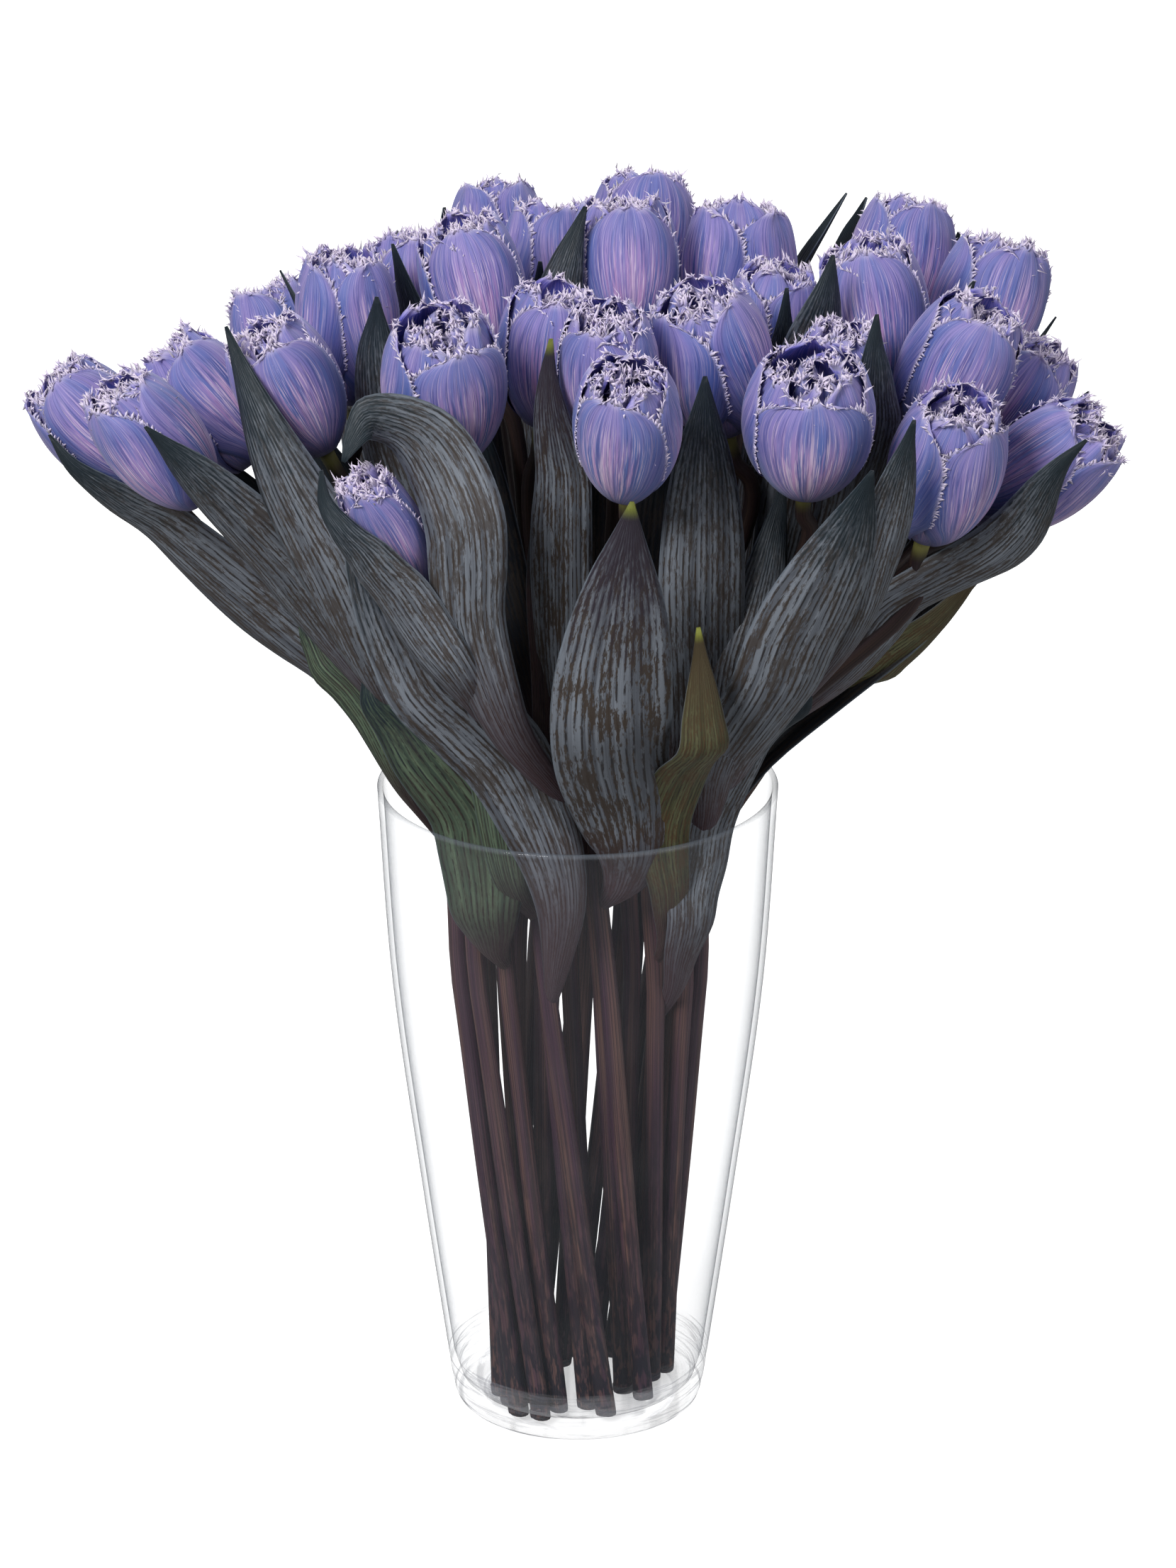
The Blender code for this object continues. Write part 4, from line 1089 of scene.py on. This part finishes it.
def fine_blade(grid):
    """A blade's fine grid, drawn smoothly through the rows of its coarse one."""
    rows = np.array([[tuple(p) for p in row] for row in grid])
    share = np.linspace(0, len(rows) - 1, BLADE_ROWS + 1)
    index = np.minimum(share.astype(int), len(rows) - 2)
    t = (share - index)[:, None, None]
    padded = np.concatenate([[2 * rows[0] - rows[1]], rows, [2 * rows[-1] - rows[-2]]])
    a, b, c, d = (padded[index + k] for k in range(4))
    line = b + ((c - a) * t + (2 * a - 5 * b + 4 * c - d) * t**2 + (3 * b - a - 3 * c + d) * t**3) / 2
    s = np.linspace(-1, 1, BLADE_COLUMNS + 1)[None, :, None]
    left, middle, right = (line[:, k:k + 1, :] for k in range(3))
    return middle + (right - left) / 2 * s + ((right + left) / 2 - middle) * s * s


def dress_leaf(shape, grid, front, back, chance):
    """Adds one leaf, ribbed and waved along its edges."""
    fine = fine_blade(grid)
    along = np.linspace(0, 1, BLADE_ROWS + 1)[:, None]
    across = np.linspace(-1, 1, BLADE_COLUMNS + 1)[None, :]
    normal = unit(np.cross(np.gradient(fine, axis=1), np.gradient(fine, axis=0)))
    swell = np.sin(along * chance.uniform(9, 15) + chance.uniform(0, 6)) * across**3 * LEAF_WAVE
    crease = -LEAF_CREASE * np.exp(-((across / LEAF_CREASE_WIDTH) ** 2)) * np.sin(np.pi * along)
    fine = fine + normal * (swell * np.sin(np.pi * along) + crease)[..., None]
    edge = past(LEAF_EDGE, np.abs(across))
    half = LEAF_THICKNESS / 2 * (1 - LEAF_THINNING * edge) * np.ones_like(along)
    thick_sheet(shape, fine, half, front, back, across, along, 0.0, chance.uniform(0, 90))


def dress_stem(shape, line, finish, grain):
    """Adds a smooth round stem along its line."""
    share = [i / STEM_GRID_RINGS for i in range(STEM_GRID_RINGS + 1)]
    middle = np.array([tuple(through(line, s)) for s in share])
    ahead = unit(np.gradient(middle, axis=0))
    side = unit(np.cross(ahead, np.array([0.0, 1.0, 0.02])))
    other = np.cross(ahead, side)
    turn = np.linspace(0, 2 * np.pi, STEM_GRID_SIDES, endpoint=False)
    radius = STEM_FOOT_RADIUS + (STEM_TOP_RADIUS - STEM_FOOT_RADIUS) * np.array(share)
    radius = radius * (1 + 0.03 * np.sin(np.array(share) * 23 + grain))
    ring = np.cos(turn)[None, :, None] * side[:, None] + np.sin(turn)[None, :, None] * other[:, None]
    points = (middle[:, None] + ring * radius[:, None, None]).reshape(-1, 3)
    rings, sides = STEM_GRID_RINGS + 1, STEM_GRID_SIDES
    faces = []
    for start in range(0, (rings - 1) * sides, sides):
        for j in range(sides):
            after = start + (j + 1) % sides
            faces.append([start + j, after, after + sides, start + j + sides])
    faces += [list(range(sides))[::-1], [(rings - 1) * sides + j for j in range(sides)]]
    around = np.tile(np.cos(turn), rings)
    shape.add(points, faces, [finish] * len(faces), around, np.repeat(share, sides), 0.0, grain)


def holding_node(point):
    """The leafy node of the frame that comes nearest to a point."""
    nodes = [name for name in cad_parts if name.startswith("leafy_stem")]

    def gap(name):
        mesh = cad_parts[name].data
        return min((v.co - point).length_squared for v in mesh.vertices)

    return min(nodes, key=gap)


def glass_vase(wall_finish, foot_finish):
    """The vase, turned from a smooth profile with a rounded rim, a thick floor and a soft heel."""
    rim_radius = VASE_OUTLINE[-1][1]
    lip = VASE_WALL / 2
    wall = [Vector((r, z)) for z, r in VASE_OUTLINE[2:]]
    climb = [through(wall, i / GLASS_ROWS) for i in range(GLASS_ROWS + 1)]
    floor = [(radius, FLOOR_HEIGHT + rise) for radius, rise in GLASS_FLOOR]
    inner = [(p.x - VASE_WALL, p.y) for p in climb if p.y > FLOOR_HEIGHT + GLASS_CORNER]
    arc = [math.radians(180 - 180 / LIP_STEPS * i) for i in range(1, LIP_STEPS)]
    centre = (rim_radius - lip, VASE_HEIGHT - lip)
    rim = [(centre[0] + lip * math.cos(a), centre[1] + lip * math.sin(a)) for a in arc]
    outer = [(p.x, p.y) for p in reversed(climb)]
    profile = [*floor, *inner, *rim, *outer, *GLASS_HEEL]
    mesh = bpy.data.meshes.new("glass")
    mesh.from_pydata(
        [(r * MM, 0.0, z * MM) for r, z in profile],
        [(i, i + 1) for i in range(len(profile) - 1)],
        [],
    )
    obj = bpy.data.objects.new("glass", mesh)
    bpy.context.scene.collection.objects.link(obj)
    turn = obj.modifiers.new("turn", "SCREW")
    turn.axis = "Z"
    turn.steps = turn.render_steps = GLASS_STEPS
    turn.use_merge_vertices = True
    turn.merge_threshold = 0.00005
    turn.use_smooth_shade = True
    graph = bpy.context.evaluated_depsgraph_get()
    turned = bpy.data.meshes.new_from_object(obj.evaluated_get(graph))
    obj.modifiers.clear()
    obj.data = turned
    turned.name = "turned_glass"
    turned.materials.append(wall_finish)
    turned.materials.append(foot_finish)
    for polygon in turned.polygons:
        polygon.material_index = int(polygon.center.z < FOOT_TOP * MM)
    return obj


def white_surround():
    """A world that looks white and throws only a dim light on the flowers."""
    look = Finish("white_surround", "worlds")
    white, dim = (
        look.node("ShaderNodeBackground", None, {"Color": colour, "Strength": strength})
        for colour, strength in (((1, 1, 1, 1), 1.0), ((0.95, 0.97, 1, 1), SURROUND_LIGHT))
    )
    seen = look.node("ShaderNodeMixShader", None, {0: look.bounced(), 1: white, 2: dim})
    look.node("ShaderNodeOutputWorld", None, {"Surface": seen})
    return look.holder


def studio():
    """The floor, the soft lights and the white surround."""
    mesh = bpy.data.meshes.new("floor")
    corners = [(x * FLOOR_REACH, y * FLOOR_REACH, 0) for x, y in ((-1, -1), (1, -1), (1, 1), (-1, 1))]
    mesh.from_pydata(corners, [], [(0, 1, 2, 3)])
    mesh.materials.append(pale_floor())
    floor = bpy.data.objects.new("floor", mesh)
    bpy.context.scene.collection.objects.link(floor)
    bpy.context.scene.world = white_surround()
    for name, place, watts, width in LIGHTS:
        lamp = bpy.data.lights.new(name, "AREA")
        lamp.shape = "DISK"
        lamp.size = width
        lamp.energy = watts
        obj = bpy.data.objects.new(name, lamp)
        bpy.context.scene.collection.objects.link(obj)
        obj.location = place
        aim = Vector((0, 0, LIGHT_AIM)) - obj.location
        obj.rotation_euler = aim.to_track_quat("-Z", "Y").to_euler()


def stand_camera():
    """The camera, at the photograph's viewing angle and framing."""
    middle = Vector((0, 0, VASE_HEIGHT))
    rise = Vector((0, math.sin(VIEW_DROP), math.cos(VIEW_DROP)))
    eye = middle + Vector((0, -VIEW_DISTANCE, VIEW_DISTANCE * math.tan(VIEW_DROP)))
    shift = Vector((1, 0, 0)) * ((FRAME_CENTRE[0] - RIM_CENTRE[0]) / RIM_SCALE)
    shift += rise * ((RIM_CENTRE[1] - FRAME_CENTRE[1]) / RIM_SCALE)
    data = bpy.data.cameras.new("viewer")
    data.sensor_width = SENSOR_WIDTH
    data.sensor_fit = "AUTO"
    data.lens = data.sensor_width * (eye - middle).length / (FRAME_HEIGHT / RIM_SCALE)
    data.clip_end = 50.0
    camera = bpy.data.objects.new("viewer", data)
    bpy.context.scene.collection.objects.link(camera)
    camera.location = (eye + shift) * MM
    camera.rotation_euler = (middle - eye).to_track_quat("-Z", "Y").to_euler()
    bpy.context.scene.camera = camera


def main():
    bpy.context.scene.view_settings.view_transform = "Standard"
    stand_camera()
    blooms = {name: Bloom(head) for name, head in HEADS.items()}
    lines = stem_lines(blooms)
    petal_finishes = [petal_outside(), petal_inside()]
    for name, bloom in blooms.items():
        petals = dress_bloom(name, bloom, petal_finishes)
        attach(petals, "root")
        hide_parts("bloom_" + name)
    looks = leaf_looks()
    order = list(looks)
    finishes = [*looks.values(), stem_skin()]
    shapes = {name: Shape() for name in lines}
    for number, (name, line) in enumerate(lines.items()):
        dress_stem(shapes[name], line, len(order), float(number))
    chance = np.random.default_rng(BLADE_SEED)
    for tulip, look, grid in leaf_grids(blooms, lines, LEAF_ROWS, 2):
        # Every blade's back takes the near-black inside finish, which is painted shade.
        dress_leaf(shapes[tulip], grid, order.index(look), order.index("inside"), chance)
    for name, shape in shapes.items():
        plant = shape.piece("stem_and_leaves_" + name, finishes)
        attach(plant, "root")
        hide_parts(holding_node(lines[name][0] * MM))
    vase = glass_vase(wall_glass(), foot_glass())
    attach(vase, "root")
    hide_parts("vase")
    studio()


main()
